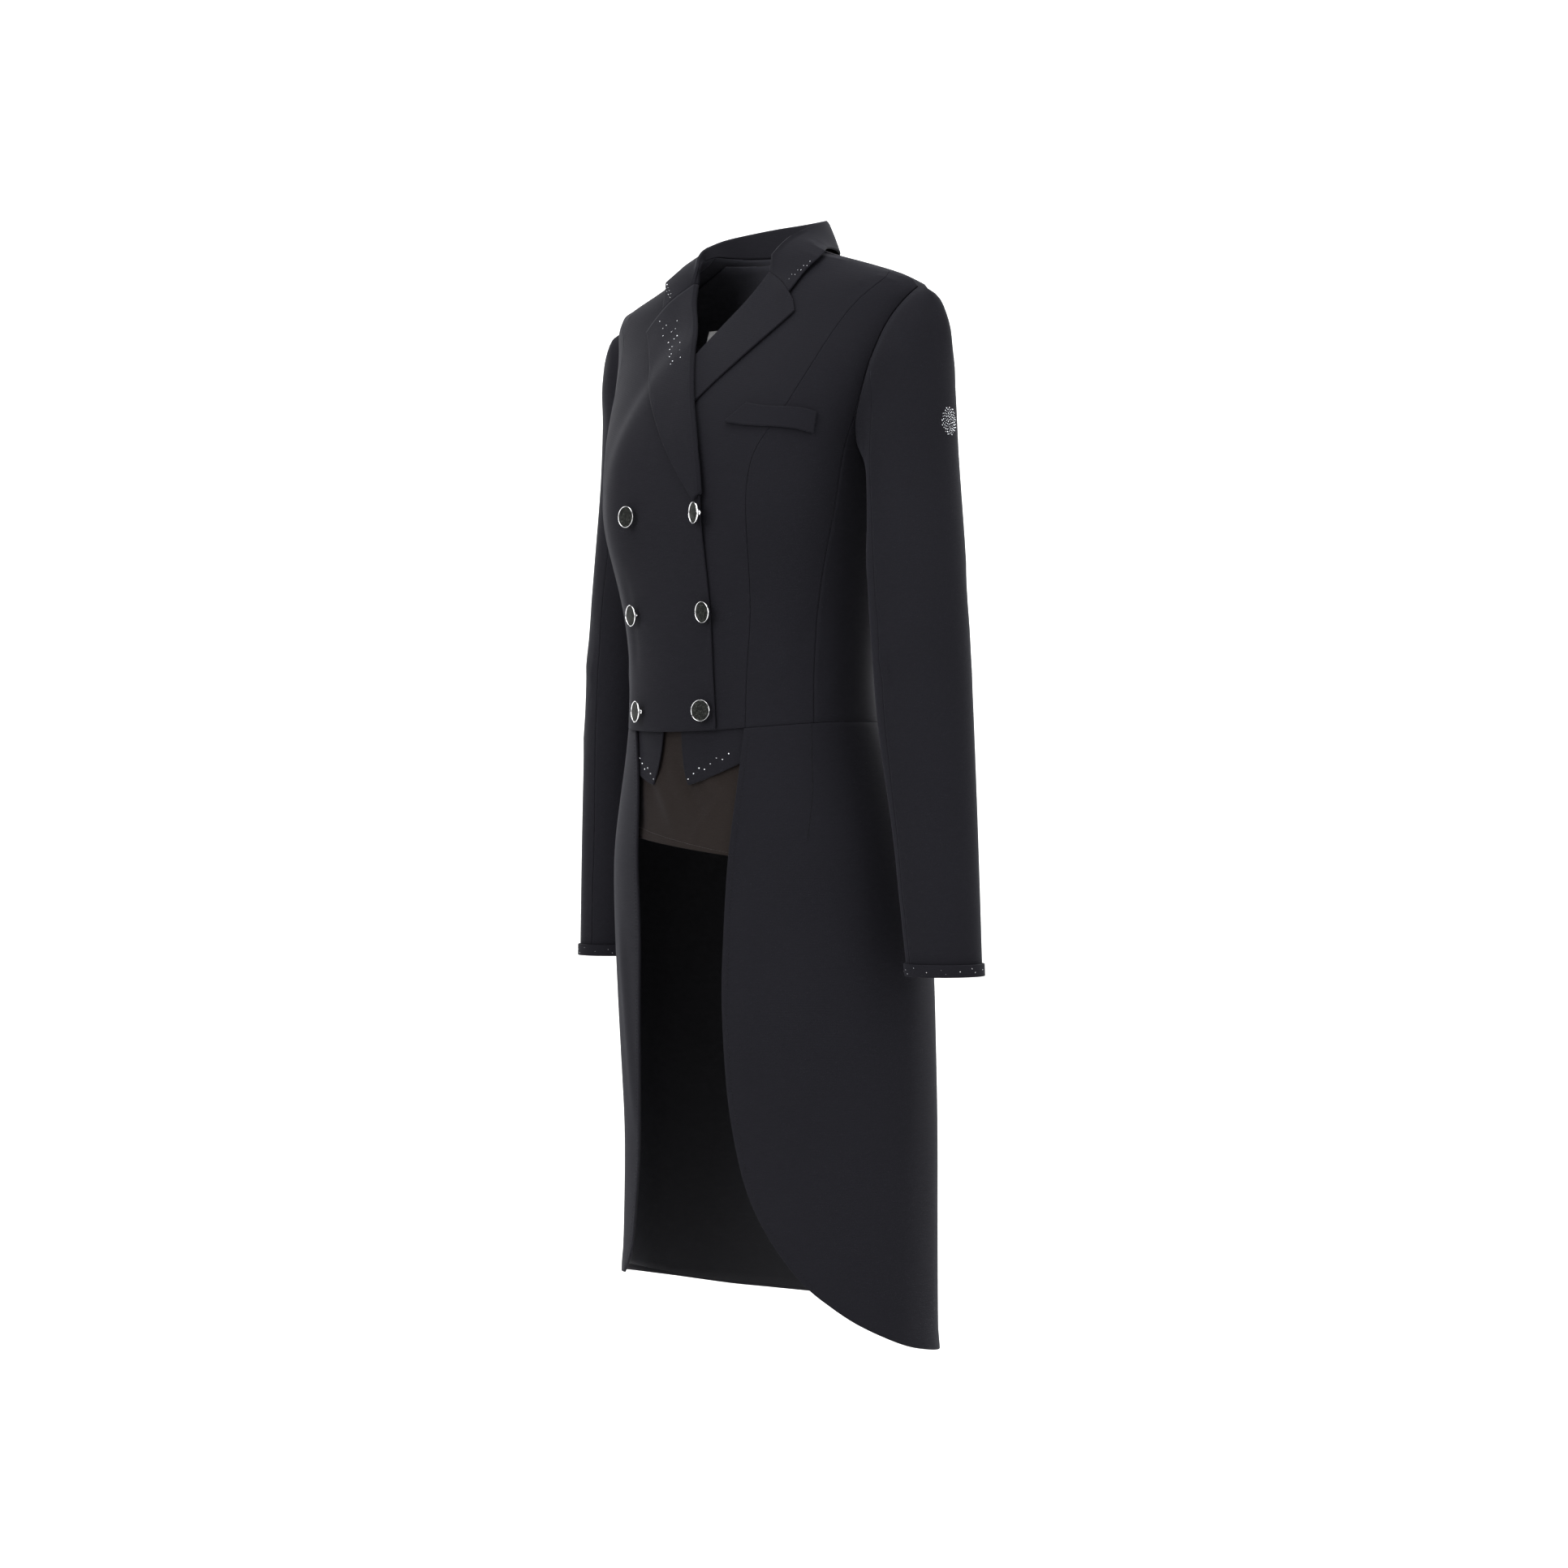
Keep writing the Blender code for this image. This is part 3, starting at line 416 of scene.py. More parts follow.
# Fullness of a sleeve's head: middle it swells from, how far, how far from the seam it
# starts and is full, and is full and ends, and the heights that it rises between
HEAD_MIDDLE = (0.160, 0.0240, -0.1250)
HEAD_FULL = 0.0046
HEAD_STARTS = (0.0010, 0.0110)
HEAD_ENDS = (0.0150, 0.0600)
HEAD_LOW = (-0.165, -0.105)
# Each round of smoothing shrinks the mesh and swells it again
SMOOTH_ROUNDS = 30
SMOOTH_STEPS = (0.50, -0.52)


def eased(low, high, values):
    """0 below low, 1 above high, and a soft rise between."""
    share = np.clip((values - low) / (high - low), 0, 1)
    return share * share * (3 - 2 * share)


def relax(mesh, points, share):
    """Evens the facets out of a mesh's points, and keeps its size."""
    ends = np.empty(len(mesh.edges) * 2, dtype=int)
    mesh.edges.foreach_get("vertices", ends)
    ends = ends.reshape(-1, 2)
    count = np.bincount(ends.ravel(), minlength=len(points))[:, None]
    for step in SMOOTH_STEPS * SMOOTH_ROUNDS:
        total = np.zeros_like(points)
        np.add.at(total, ends[:, 0], points[ends[:, 1]])
        np.add.at(total, ends[:, 1], points[ends[:, 0]])
        points += step * share[:, None] * (total / count - points)


body_points = np.concatenate(
    [points_of(bpy.data.objects[name + "_cloth"].data) for name, *_ in BODY_PANELS]
)
body_tree = KDTree(len(body_points))
for number, point in enumerate(body_points):
    body_tree.insert(point, number)
body_tree.balance()
heights, across, deep = np.array(SLEEVE_LINE).T
for name, width, length, area in SLEEVES:
    sleeve = refined(name, 2, black_cloth)
    points = points_of(sleeve.data)
    side = -1 if name.endswith("right") else 1
    middle_x = side * np.interp(points[:, 2], heights, across)
    middle_y = np.interp(points[:, 2], heights, deep)
    around = np.arctan2(middle_y - points[:, 1], side * (points[:, 0] - middle_x))
    spots = np.stack([around * SLEEVE_RADIUS, points[:, 2]], axis=1)
    moved = np.zeros(len(points))
    for turn, height, end_turn, end_height, half_width, out in SLEEVE_FOLDS:
        slipped = math.radians(turn + FOLD_SLIP[0] * side)
        start = np.array([slipped * SLEEVE_RADIUS, height + FOLD_SLIP[1] * side])
        run = np.array([math.radians(end_turn - turn) * SLEEVE_RADIUS, end_height - height])
        share, off = beside(spots, start, run)
        fade = np.clip(np.minimum(share, 1 - share) / SLEEVE_FADE, 0, 1)
        moved += out * fade * fade * (3 - 2 * fade) * np.exp(-((off / half_width) ** 2))
    points[:, 0] += side * np.cos(around) * moved
    points[:, 1] -= np.sin(around) * moved
    from_seam = np.array([body_tree.find(point)[2] for point in points])
    clear = eased(*HEAD_STARTS, from_seam)
    high = eased(*HEAD_LOW, points[:, 2])
    full = HEAD_FULL * clear * (1 - eased(*HEAD_ENDS, from_seam)) * high
    relax(sleeve.data, points, high * clear)
    swell = points - np.array(HEAD_MIDDLE) * (side, 1, 1)
    points += swell / np.linalg.norm(swell, axis=1)[:, None] * full[:, None]
    place_points(sleeve.data, points)
    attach(sleeve, "root")
    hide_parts(name)

# Cuff bands, narrow strips of the same softshell, turned up over the ends of the sleeves,
# sewn down and edged with crystals.
for name in ("cuff_left", "cuff_right"):
    cuff = refined(name, 3, black_cloth)
    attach(cuff, "root")
    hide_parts(name)

# Lapels, cut in one with the facing and rolled out from the fronts to a peak, and the
# collar, whose stand rises round the neck and whose fall folds down over it.
LAPELS = (("lapel_left", 0.071, 0.259, 0.0134), ("lapel_right", 0.071, 0.263, 0.0139))
COLLAR_CUT = ("collar", 0.074, 0.413, 0.0197)
# Their rolled facets turn further than those of a flat piece
ROLLED_EDGE = 72
for name, width, length, area in (*LAPELS, COLLAR_CUT):
    piece = refined(name, 3, black_cloth, turned_edge=ROLLED_EDGE)
    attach(piece, "root")
    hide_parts(name)

# Pocket welt, a folded strip of the same softshell, sewn over the mouth of the chest
# pocket on the left front.
welt = refined("pocket_welt", 3, black_cloth)
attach(welt, "root")
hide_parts("pocket_welt")

# False waistcoat points, two shaped tabs of the same softshell that peep out below the
# fronts, edged with crystals.
for name in ("waistcoat_point_left", "waistcoat_point_right"):
    point = refined(name, 3, black_cloth, edge_round=THIN_EDGE)
    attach(point, "root")
    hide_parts(name)

# Inner front panel, a dark brown stretch cloth behind the points. It is gathered a little
# at the waist, so it lies in slanting folds above its stitched hem.
PANEL_FOLDS = (
    (-22.0, -0.470, 8.0, -0.540, 0.0090, 0.0024),
    (-2.0, -0.462, 26.0, -0.536, 0.0080, -0.0018),
    (16.0, -0.470, 44.0, -0.528, 0.0080, 0.0020),
    (-44.0, -0.480, -18.0, -0.545, 0.0080, -0.0016),
    (-50.0, -0.470, -36.0, -0.520, 0.0070, 0.0014),
    (34.0, -0.500, 14.0, -0.548, 0.0060, 0.0012),
)
BROWN_DARK = (0.0094, 0.0069, 0.0060)
BROWN_LIGHT = (0.0140, 0.0106, 0.0094)
brown_cloth = softshell(
    "brown stretch cloth", BROWN_DARK, BROWN_LIGHT, roughness=0.85, sheen=0.04
)
inner_panel = refined("inner_panel", 3, brown_cloth, edge_round=THIN_EDGE)
fold(inner_panel, PANEL_FOLDS)
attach(inner_panel, "root")
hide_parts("inner_panel")

# Neck label, a small blank square of white satin, sewn inside the back below the collar.
# Its near edge is cut back at a slant, to where the photograph shows it.
LABEL_DARK = (0.86, 0.86, 0.88)
LABEL_LIGHT = (0.93, 0.93, 0.95)
label_satin_painted_glow = softshell("label satin with painted glow", LABEL_DARK, LABEL_LIGHT, roughness=0.45, sheen=0.1)
label_shader = label_satin_painted_glow.node_tree.nodes["Principled BSDF"]
# The label glows faintly: painted light that lifts it out of the shade inside the neck
label_shader.inputs["Emission Color"].default_value = (1, 1, 1, 1)
label_shader.inputs["Emission Strength"].default_value = 0.12
# A point on the cut, aside and up, how far the cut leans, and a woven label's thin edge
LABEL_EDGE = aside * -0.0427 + Vector((0, 0, -0.0516))
LABEL_LEAN = 0.263
WOVEN_EDGE = 0.0001
label = refined("neck_label", 2, label_satin_painted_glow, edge_round=WOVEN_EDGE)
bm = bmesh.new()
bm.from_mesh(label.data)
bmesh.ops.bisect_plane(
    bm,
    geom=bm.verts[:] + bm.edges[:] + bm.faces[:],
    plane_co=LABEL_EDGE,
    plane_no=aside - Vector((0, 0, LABEL_LEAN)),
    clear_inner=True,
)
bmesh.ops.holes_fill(bm, edges=[e for e in bm.edges if e.is_boundary], sides=0)
bm.to_mesh(label.data)
bm.free()
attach(label, "root")
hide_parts("neck_label")

# Buttons, a polished silver rim pressed round a dark disc of glitter, on a metal shank.
# They stand on the right front, three to each side.
BUTTONS = [name for name in sorted(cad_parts) if name.startswith("button")]
# Half sections of the rim and the disc: radius and rise from the foot of the shank
RIM_PROFILE = (
    (0.0000, 0.0000),
    (0.0024, 0.0000),
    (0.0026, 0.0008),
    (0.0021, 0.0016),
    (0.0020, 0.0036),
    (0.0070, 0.0039),
    (0.0093, 0.0045),
    (0.0099, 0.0053),
    (0.0099, 0.0060),
    (0.0098, 0.0066),
    (0.0096, 0.0068),
    (0.0093, 0.0066),
    (0.0092, 0.0061),
)
DISC_PROFILE = ((0.0092, 0.0061), (0.0086, 0.0062), (0.0040, 0.0064), (0.0000, 0.0065))
TURNED_STEPS = 48
TURNED_WELD = 1e-6
SHARP_TURN = 50
silver = bpy.data.materials.new("polished silver")
silver.use_nodes = True
silver_shader = silver.node_tree.nodes["Principled BSDF"]
silver_shader.inputs["Base Color"].default_value = (0.80, 0.80, 0.81, 1)
silver_shader.inputs["Metallic"].default_value = 1
silver_wear = silver.node_tree.nodes.new("ShaderNodeTexNoise")
silver_wear.inputs["Scale"].default_value = 900
silver_place = silver.node_tree.nodes.new("ShaderNodeTexCoord")
silver_range = silver.node_tree.nodes.new("ShaderNodeMapRange")
silver_range.inputs["To Min"].default_value = 0.10
silver_range.inputs["To Max"].default_value = 0.26
silver.node_tree.links.new(silver_place.outputs["Object"], silver_wear.inputs["Vector"])
silver.node_tree.links.new(silver_wear.outputs["Fac"], silver_range.inputs["Value"])
silver.node_tree.links.new(silver_range.outputs["Result"], silver_shader.inputs["Roughness"])
glitter = bpy.data.materials.new("dark glitter")
glitter.use_nodes = True
glitter_shader = glitter.node_tree.nodes["Principled BSDF"]
glitter_shader.inputs["Metallic"].default_value = 0.0
glitter_shader.inputs["Roughness"].default_value = 0.5
glitter_shader.inputs["Specular IOR Level"].default_value = 0.1
glitter_place = glitter.node_tree.nodes.new("ShaderNodeTexCoord")
grain = glitter.node_tree.nodes.new("ShaderNodeTexVoronoi")
grain.inputs["Scale"].default_value = 2200
spark = glitter.node_tree.nodes.new("ShaderNodeValToRGB")
spark.color_ramp.elements[0].position = 0.70
spark.color_ramp.elements[0].color = (0.0035, 0.0040, 0.0035, 1)
spark.color_ramp.elements[1].position = 0.98
spark.color_ramp.elements[1].color = (0.10, 0.105, 0.095, 1)
grain_bump = glitter.node_tree.nodes.new("ShaderNodeBump")
grain_bump.inputs["Strength"].default_value = 0.8
grain_bump.inputs["Distance"].default_value = 0.0002
glitter.node_tree.links.new(glitter_place.outputs["Object"], grain.inputs["Vector"])
glitter.node_tree.links.new(grain.outputs["Color"], spark.inputs["Fac"])
glitter.node_tree.links.new(grain.outputs["Distance"], grain_bump.inputs["Height"])
glitter.node_tree.links.new(spark.outputs["Color"], glitter_shader.inputs["Base Color"])
glitter.node_tree.links.new(grain_bump.outputs["Normal"], glitter_shader.inputs["Normal"])
for name in BUTTONS:
    points = np.unique(points_of(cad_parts[name].data).round(6), axis=0)
    middle = points.mean(0)
    _, directions = np.linalg.eigh(np.cov((points - middle).T))
    facing = directions[:, 0] * (1 if directions[1, 0] < 0 else -1)
    foot = middle + facing * ((points - middle) @ facing).min()
    bm = bmesh.new()
    for slot, profile in enumerate((RIM_PROFILE, DISC_PROFILE)):
        verts = [bm.verts.new((radius, 0, rise)) for radius, rise in profile]
        edges = [bm.edges.new(pair) for pair in zip(verts, verts[1:])]
        before = set(bm.faces)
        bmesh.ops.spin(
            bm,
            geom=verts + edges,
            axis=(0, 0, 1),
            cent=(0, 0, 0),
            angle=math.tau,
            steps=TURNED_STEPS,
            use_merge=True,
        )
        for face in set(bm.faces) - before:
            face.material_index = slot
    bmesh.ops.remove_doubles(bm, verts=bm.verts, dist=TURNED_WELD)
    bmesh.ops.recalc_face_normals(bm, faces=bm.faces)
    turn = Vector(facing).to_track_quat("Z", "Y").to_matrix().to_4x4()
    bmesh.ops.transform(bm, matrix=Matrix.Translation(foot) @ turn, verts=bm.verts)
    mesh = bpy.data.meshes.new(name + "_turned")
    bm.to_mesh(mesh)
    bm.free()
    mesh.shade_smooth()
    mesh.set_sharp_from_angle(angle=math.radians(SHARP_TURN))
    mesh.materials.append(silver)
    mesh.materials.append(glitter)
    button = bpy.data.objects.new(name + "_turned", mesh)
    bpy.context.scene.collection.objects.link(button)
    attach(button, "root")
    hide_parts(name)

# Crystals, small flat-backed glass stones with a foiled back, glued on: scattered on the
# right lapel, along the collar's edge, the cuffs and the points, and in a plain round
# patch on the left sleeve.
SMALL_STONE = 0.00045
MIDDLE_STONE = 0.0006
LARGE_STONE = 0.0008
# A stone's facets, and its table, height and the rise of its middle as shares of its radius
STONE_FACETS = 7
STONE_TABLE = 0.5
STONE_HEIGHT = 0.7
STONE_RISE = 0.30
# The smallest stone's size and what the others add, and the turn from one to the next
STONE_SMALLEST = 0.85
STONE_SPREAD = 0.3
STONE_TURN = 1.7
# How far from a piece's middle a ray starts, outside the coat
RAY_START = 0.4
crystal_glass = bpy.data.materials.new("foiled crystal")
crystal_glass.use_nodes = True
crystal_shader = crystal_glass.node_tree.nodes["Principled BSDF"]
crystal_shader.inputs["Metallic"].default_value = 1
crystal_shader.inputs["Roughness"].default_value = 0.12
crystal_place = crystal_glass.node_tree.nodes.new("ShaderNodeTexCoord")
crystal_tone = crystal_glass.node_tree.nodes.new("ShaderNodeTexVoronoi")
crystal_tone.inputs["Scale"].default_value = 500
crystal_ramp = crystal_glass.node_tree.nodes.new("ShaderNodeValToRGB")
crystal_ramp.color_ramp.elements[0].color = (0.35, 0.37, 0.40, 1)
crystal_ramp.color_ramp.elements[1].color = (0.95, 0.97, 1.0, 1)
crystal_glass.node_tree.links.new(crystal_place.outputs["Object"], crystal_tone.inputs["Vector"])
crystal_glass.node_tree.links.new(crystal_tone.outputs["Color"], crystal_ramp.inputs["Fac"])
crystal_glass.node_tree.links.new(
    crystal_ramp.outputs["Color"], crystal_shader.inputs["Base Color"]
)


def surface(name):
    """The finished cloth of a piece, ready to be met by a ray."""
    mesh = bpy.data.objects[name + "_cloth"].data
    return BVHTree.FromPolygons([v.co for v in mesh.vertices], [p.vertices for p in mesh.polygons])


def crystals(name, spots, radius):
    """One mesh of stones at these points, each with the way it faces."""
    bm = bmesh.new()
    for number, (point, facing) in enumerate(spots):
        size = radius * (STONE_SMALLEST + STONE_SPREAD * ((number * 7) % 5) / 4)
        turn = facing.to_track_quat("Z", "Y").to_matrix().to_4x4()
        spin = Matrix.Rotation(number * STONE_TURN, 4, "Z")
        place = Matrix.Translation(point + facing * size * STONE_RISE) @ turn @ spin
        bmesh.ops.create_cone(
            bm,
            cap_ends=True,
            segments=STONE_FACETS,
            radius1=size,
            radius2=size * STONE_TABLE,
            depth=size * STONE_HEIGHT,
            matrix=place,
        )
    mesh = bpy.data.meshes.new(name)
    bm.to_mesh(mesh)
    bm.free()
    mesh.materials.append(crystal_glass)
    stones = bpy.data.objects.new(name, mesh)
    bpy.context.scene.collection.objects.link(stones)
    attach(stones, "root")


def spots_round(tree, places, middle=Vector((0, BODY_MIDDLE, 0))):
    """Where rays from outside meet a piece, at each angle from the front and height."""
    found = []
    for angle, height in places:
        way = Vector((math.sin(math.radians(angle)), -math.cos(math.radians(angle)), 0))
        start = Vector((middle.x, middle.y, height)) + way * RAY_START
        hit, normal, _, _ = tree.ray_cast(start, -way)
        if hit:
            found.append((hit, normal if normal.dot(way) > 0 else -normal))
    return found


def spots_ahead(tree, places):
    """Where rays from straight ahead meet a piece, at each distance aside and height."""
    found = []
    for across, height in places:
        hit, normal, _, _ = tree.ray_cast(Vector((across, -1, height)), Vector((0, 1, 0)))
        if hit:
            found.append((hit, normal if normal.y < 0 else -normal))
    return found


def between(ends, share):
    """The place at this share of the way along a line."""
    (across, height), (end_across, end_height) = ends
    return across + (end_across - across) * share, height + (end_height - height) * share


# A loose drift of stones on the right lapel, in three lanes from its top down beside the
# roll. Each stone strays from its lane, and the drift narrows towards its end.
LAPEL_DRIFT = ((-0.0780, -0.0570), (-0.0130, -0.1085))
LAPEL_LANE = 0.0125
LANE_STRAY = 0.35
STRAY_TURN = 7.3
DRIFT_NARROWS = 0.3
LAPEL_STONES = 19
lapel_places = []
for stone in range(LAPEL_STONES):
    share = (stone + 0.5) / LAPEL_STONES
    across, height = between(LAPEL_DRIFT, share)
    lane = (2 * stone) % 3 - 1 + LANE_STRAY * math.sin(STRAY_TURN * stone * stone)
    off = LAPEL_LANE * lane * (1 - DRIFT_NARROWS * share)
    lapel_places.append((across + off, height))
lapel_spots = spots_ahead(surface("lapel_right"), lapel_places)
crystals("lapel_crystals", lapel_spots, MIDDLE_STONE)
# Two rows along the lower edge of the collar's fall, on each side of its front
COLLAR_EDGE = ((0.0862, -0.0360), (0.1075, -0.0215))
COLLAR_ROW_GAP = (0.00140, 0.00224)
COLLAR_STONES = 8
for side, name in ((1, "left"), (-1, "right")):
    collar_places = []
    for stone in range(COLLAR_STONES):
        across, height = between(COLLAR_EDGE, (stone + 0.5) / COLLAR_STONES)
        row = stone % 2
        collar_places.append(
            (side * (across - COLLAR_ROW_GAP[0] * row), height + COLLAR_ROW_GAP[1] * row)
        )
    collar_spots = spots_ahead(surface("collar"), collar_places)
    crystals(f"collar_crystals_{name}", collar_spots, SMALL_STONE)
# A band along the long lower edge of each waistcoat point, from one height above the
# edge to the next, filled unevenly
POINT_EDGE = ((11.5, -0.4930), (37.0, -0.4715))
POINT_BAND = (0.0016, 0.0078)
POINT_SCATTER = 0.382
POINT_STONES = 8
for side, name in ((1, "left"), (-1, "right")):
    point_places = []
    for stone in range(POINT_STONES):
        angle, height = between(POINT_EDGE, (stone + 0.5) / POINT_STONES)
        filled = (stone * POINT_SCATTER) % 1
        rise = POINT_BAND[0] + (POINT_BAND[1] - POINT_BAND[0]) * filled
        point_places.append((side * angle, height + rise))
    point_spots = spots_round(surface(f"waistcoat_point_{name}"), point_places)
    crystals(f"point_crystals_{name}", point_spots, LARGE_STONE)
# A thin drift round each cuff band, down from this height, with stones that stray by a
# few degrees
CUFF_MIDDLE = (0.2408, 0.0215)
CUFF_TOP = -0.6560
CUFF_DRIFT = 0.0055
CUFF_SCATTER = 0.618
CUFF_STRAY = 5
CUFF_STONES = 22
for side, name in ((1, "left"), (-1, "right")):
    cuff_middle = Vector((side * CUFF_MIDDLE[0], CUFF_MIDDLE[1], 0))
    cuff_places = [
        (
            stone * 360 / CUFF_STONES + CUFF_STRAY * (stone % 3),
            CUFF_TOP - CUFF_DRIFT * ((stone * CUFF_SCATTER) % 1),
        )
        for stone in range(CUFF_STONES)
    ]
    cuff_spots = spots_round(surface(f"cuff_{name}"), cuff_places, cuff_middle)
    crystals(f"cuff_crystals_{name}", cuff_spots, SMALL_STONE)
# A plain round patch on the outer side of the left sleeve, with its stones spread evenly
# by the turn between a sunflower's seeds
SLEEVE_TOP_MIDDLE = Vector((0.1905, 0.0238, 0))
SLEEVE_TOP_RADIUS = 0.043
PATCH_MIDDLE = (108.0, -0.171)
PATCH_RADIUS = 0.0125
SUNFLOWER_TURN = 2.39996
PATCH_STONES = 84
patch_places = []
for stone in range(PATCH_STONES):
    reach = PATCH_RADIUS * math.sqrt((stone + 0.5) / PATCH_STONES)
    turn = stone * SUNFLOWER_TURN
    patch_places.append(
        (
            PATCH_MIDDLE[0] + math.degrees(reach * math.cos(turn) / SLEEVE_TOP_RADIUS),
            PATCH_MIDDLE[1] + reach * math.sin(turn),
        )
    )
patch_spots = spots_round(surface("top_sleeve_left"), patch_places, SLEEVE_TOP_MIDDLE)
crystals("sleeve_crystals", patch_spots, MIDDLE_STONE)

# Stitches: a row in brown thread above the hem of the brown panel, and in black thread a
# row along the cutaway edges of the tails and the closed dart below the waist on each side.
STITCH_LENGTH = 0.0024
STITCH_STEP = 0.0034
# A thread's half width and half height, and how far its middle stands off the cloth
THREAD_WIDE = 0.00024
THREAD_HIGH = 0.00020
THREAD_RISE = 0.00008
# A row skips a gap outside these lengths, where it met another part of the cloth
STITCH_GAPS = (0.0005, 0.008)
BLACK_THREAD = ((0.0030, 0.0030, 0.0038), (0.0046, 0.0046, 0.0056))
BROWN_THREAD = ((0.024, 0.020, 0.018), (0.036, 0.030, 0.027))
black_thread = softshell("black thread", *BLACK_THREAD, roughness=0.6, sheen=0.02)
brown_thread = softshell("brown thread", *BROWN_THREAD, roughness=0.5, sheen=0.2)


def stitches(name, spots, thread, length=STITCH_LENGTH):
    """A row of short threads that lie along the line through these points."""
    bm = bmesh.new()
    for (point, facing), (ahead, _) in zip(spots, spots[1:]):
        run = ahead - point
        if not STITCH_GAPS[0] < run.length < STITCH_GAPS[1]:
            continue
        way = run.normalized()
        across = facing.cross(way).normalized()
        turn = Matrix((way, across, way.cross(across))).transposed().to_4x4()
        size = Matrix.Diagonal((length / 2, THREAD_WIDE, THREAD_HIGH, 1))
        place = Matrix.Translation(point + facing * THREAD_RISE) @ turn @ size
        bmesh.ops.create_icosphere(bm, subdivisions=1, radius=1, matrix=place)
    mesh = bpy.data.meshes.new(name)
    bm.to_mesh(mesh)
    bm.free()
    mesh.shade_smooth()
    mesh.materials.append(thread)
    threads = bpy.data.objects.new(name, mesh)
    bpy.context.scene.collection.objects.link(threads)
    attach(threads, "root")


def along(corners, radius, step=STITCH_STEP):
    """Evenly spaced angles and heights along a line through these corners."""
    places = []
    for (angle, height), (end_angle, end_height) in zip(corners, corners[1:]):
        run = math.hypot(math.radians(end_angle - angle) * radius, end_height - height)
        count = max(round(run / step), 1)
        places += [
            (
                angle + (end_angle - angle) * number / count,
                height + (end_height - height) * number / count,
            )
            for number in range(count)
        ]
    return places


# Lines of stitches, as angles from the front and heights, and the radius that they lie at
EDGE_RADIUS = 0.125
PANEL_HEM = ((-58.0, -0.5246), (58.0, -0.5640))
panel_spots = spots_round(surface("inner_panel"), along(PANEL_HEM, EDGE_RADIUS))
stitches("panel_hem_stitches", panel_spots, brown_thread)
LEFT_TAIL_EDGE = (
    (67.5, -0.9450),
    (56.0, -0.9070),
    (43.3, -0.8480),
    (36.2, -0.7690),
    (34.7, -0.7030),
    (37.0, -0.6070),
    (41.0, -0.5190),
    (44.8, -0.4460),
)
RIGHT_TAIL_EDGE = (
    (-54.3, -0.9500),
    (-47.3, -0.9310),
    (-42.9, -0.8780),
    (-38.3, -0.7930),
    (-31.6, -0.7080),
    (-25.0, -0.6130),
    (-24.8, -0.5200),
    (-34.7, -0.4480),
)
# The dart's threads overlap, so that it reads as a closed line
DART = ((68.8, -0.4415), (68.0, -0.5000), (65.2, -0.5490))
DART_RADIUS = 0.15
DART_STEP = 0.0025
DART_LENGTH = 0.0032
for side, name, edge in ((1, "left", LEFT_TAIL_EDGE), (-1, "right", RIGHT_TAIL_EDGE)):
    tail_tree = surface(f"tail_{name}")
    edge_spots = spots_round(tail_tree, along(edge, EDGE_RADIUS))
    stitches(f"tail_edge_stitches_{name}", edge_spots, black_thread)
    dart_line = along(DART, DART_RADIUS, DART_STEP)
    dart = spots_round(tail_tree, [(side * angle, height) for angle, height in dart_line])
    stitches(f"dart_{name}", dart, black_thread, DART_LENGTH)

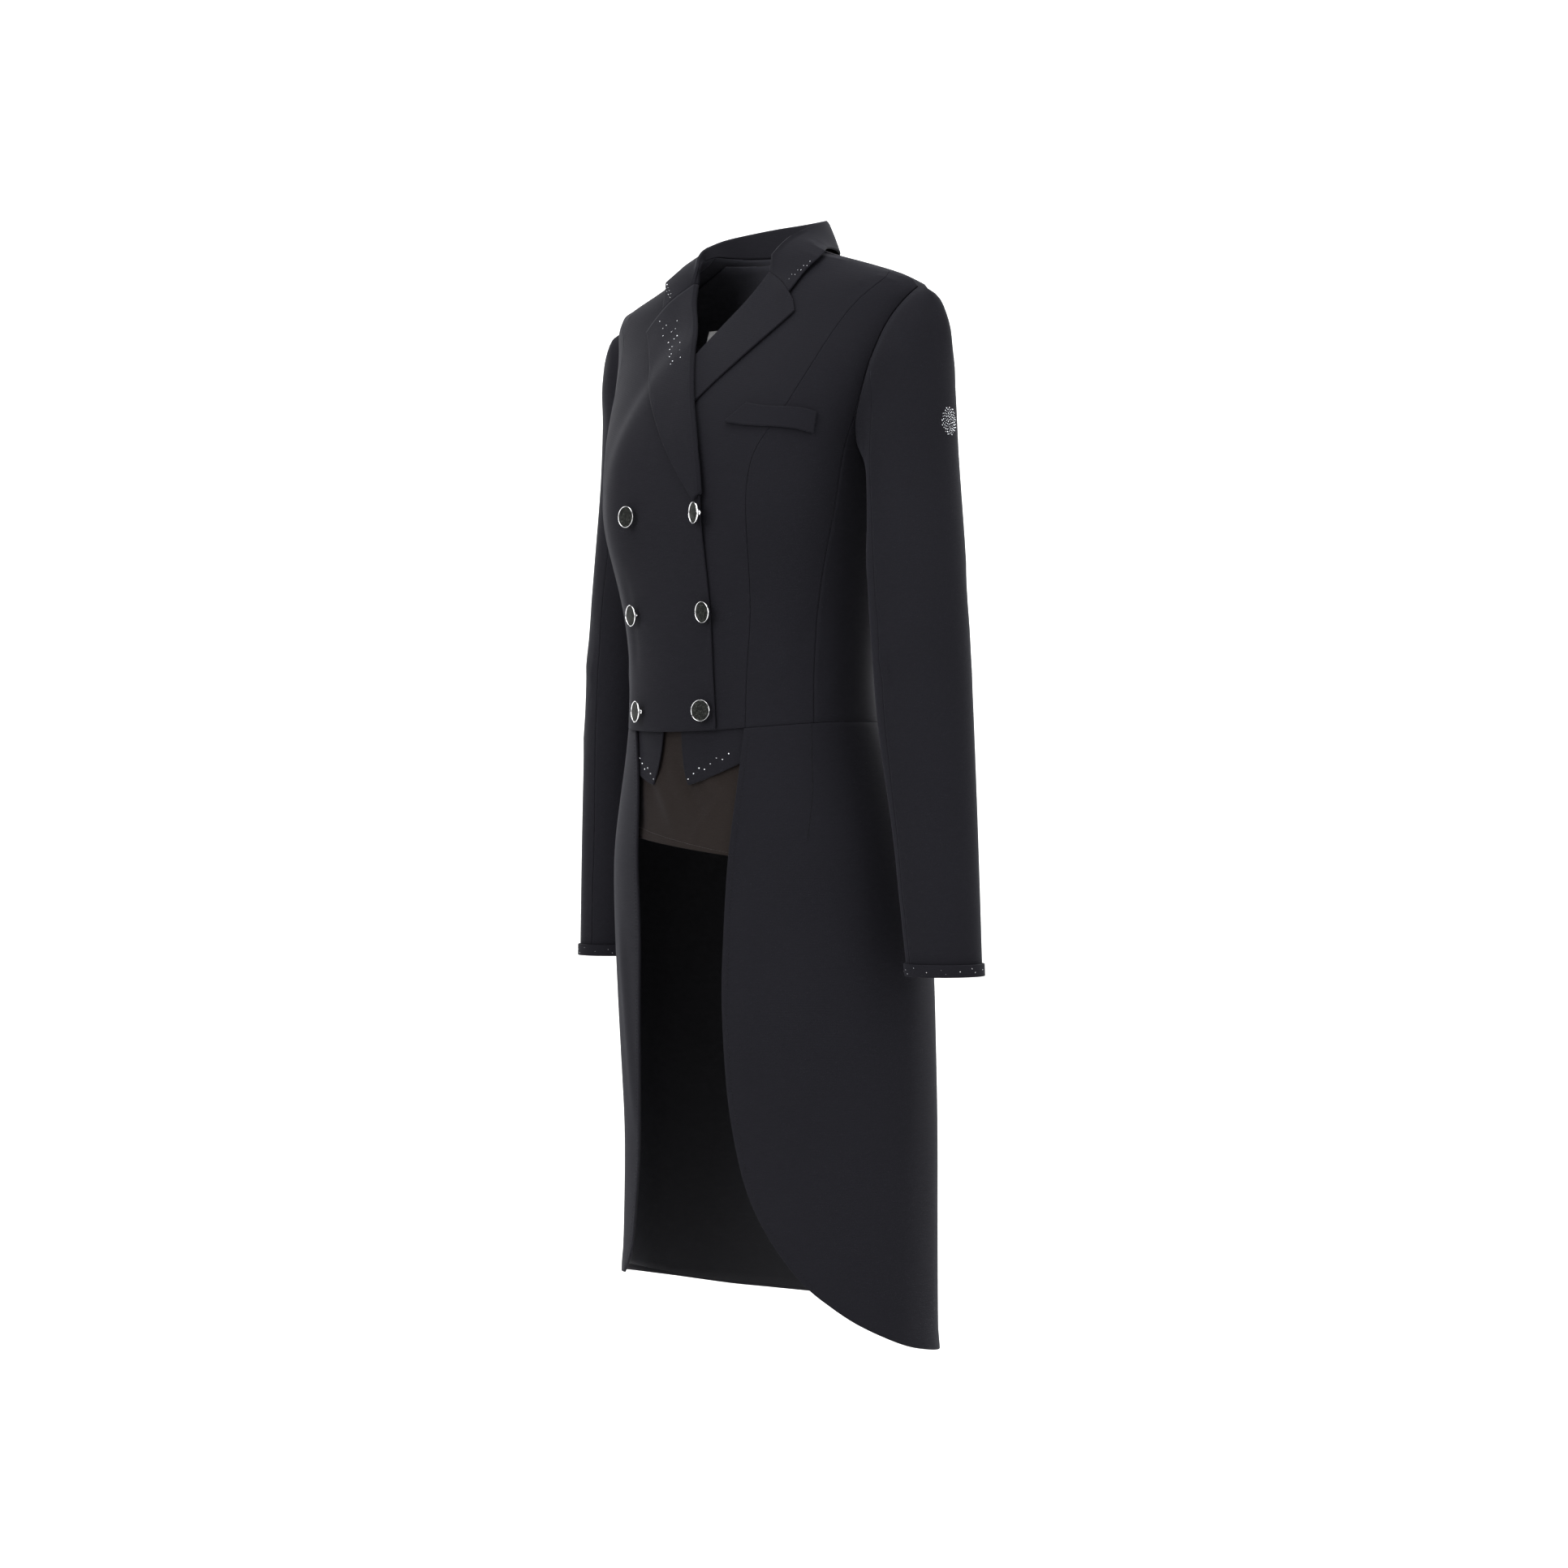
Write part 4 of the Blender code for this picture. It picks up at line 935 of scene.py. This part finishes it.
# Studio: a pale sweep behind and under the coat, and soft light from large panels. The
# floor lies where the wearer's feet would stand.
FLOOR = -1.45
SWEEP_HALF_SIZE = 9
SWEEP_STRIPS = 60
SWEEP_START = 3.0
SWEEP_BEND = 1.6
bm = bmesh.new()
bmesh.ops.create_grid(bm, x_segments=2, y_segments=SWEEP_STRIPS, size=SWEEP_HALF_SIZE)
for vert in bm.verts:
    past = vert.co.y - SWEEP_START
    vert.co.z = FLOOR
    if past > 0:
        turn = min(past / SWEEP_BEND, math.pi / 2)
        vert.co.y = SWEEP_START + SWEEP_BEND * math.sin(turn)
        vert.co.z += SWEEP_BEND * (1 - math.cos(turn)) + max(past - SWEEP_BEND * math.pi / 2, 0)
to_camera = Matrix.Rotation(CAMERA_TURN, 3, "Z")
bmesh.ops.rotate(bm, cent=(0, 0, 0), matrix=to_camera, verts=bm.verts)
sweep_mesh = bpy.data.meshes.new("sweep")
bm.to_mesh(sweep_mesh)
bm.free()
sweep_mesh.shade_smooth()
sweep = bpy.data.objects.new("sweep", sweep_mesh)
bpy.context.scene.collection.objects.link(sweep)
paper = bpy.data.materials.new("pale paper")
paper.use_nodes = True
paper_shader = paper.node_tree.nodes["Principled BSDF"]
paper_shader.inputs["Base Color"].default_value = (0.88, 0.88, 0.88, 1)
paper_shader.inputs["Roughness"].default_value = 0.9
sweep_mesh.materials.append(paper)
# Panels of light: name, turn from the camera, height, distance, size, watts. They point
# at the waist, but for the one that lights the sweep, and their heights count from here.
LIGHTS_FROM = -0.3
WAIST = Vector((0, 0, -0.45))
AT_SWEEP = Vector((0, 0, -0.2))
LIGHTS = (
    ("key", -42, 1.1, 3.0, 2.2, 85),
    ("fill", 48, 0.6, 3.2, 2.4, 55),
    ("top", 0, 2.6, 0.6, 2.4, 75),
    ("back left", -150, 0.9, 2.6, 1.4, 25),
    ("back right", 140, 0.9, 2.6, 1.4, 25),
    ("sweep", 180, 1.2, 2.2, 3.0, 80),
)
for name, turn, height, distance, size, watts in LIGHTS:
    lamp = bpy.data.objects.new(name, bpy.data.lights.new(name, "AREA"))
    lamp.data.size = size
    lamp.data.energy = watts
    way = Matrix.Rotation(math.radians(turn), 3, "Z") @ away
    lamp.location = way * distance + Vector((0, 0, height + LIGHTS_FROM))
    aim = AT_SWEEP - away if name == "sweep" else WAIST - lamp.location
    lamp.rotation_euler = aim.to_track_quat("-Z", "Y").to_euler()
    bpy.context.scene.collection.objects.link(lamp)
world = bpy.data.worlds.new("studio")
world.use_nodes = True
world.node_tree.nodes["Background"].inputs["Color"].default_value = (1, 1, 1, 1)
world.node_tree.nodes["Background"].inputs["Strength"].default_value = 0.55
bpy.context.scene.world = world
bpy.context.scene.view_settings.view_transform = "Standard"

bpy.context.view_layer.update()
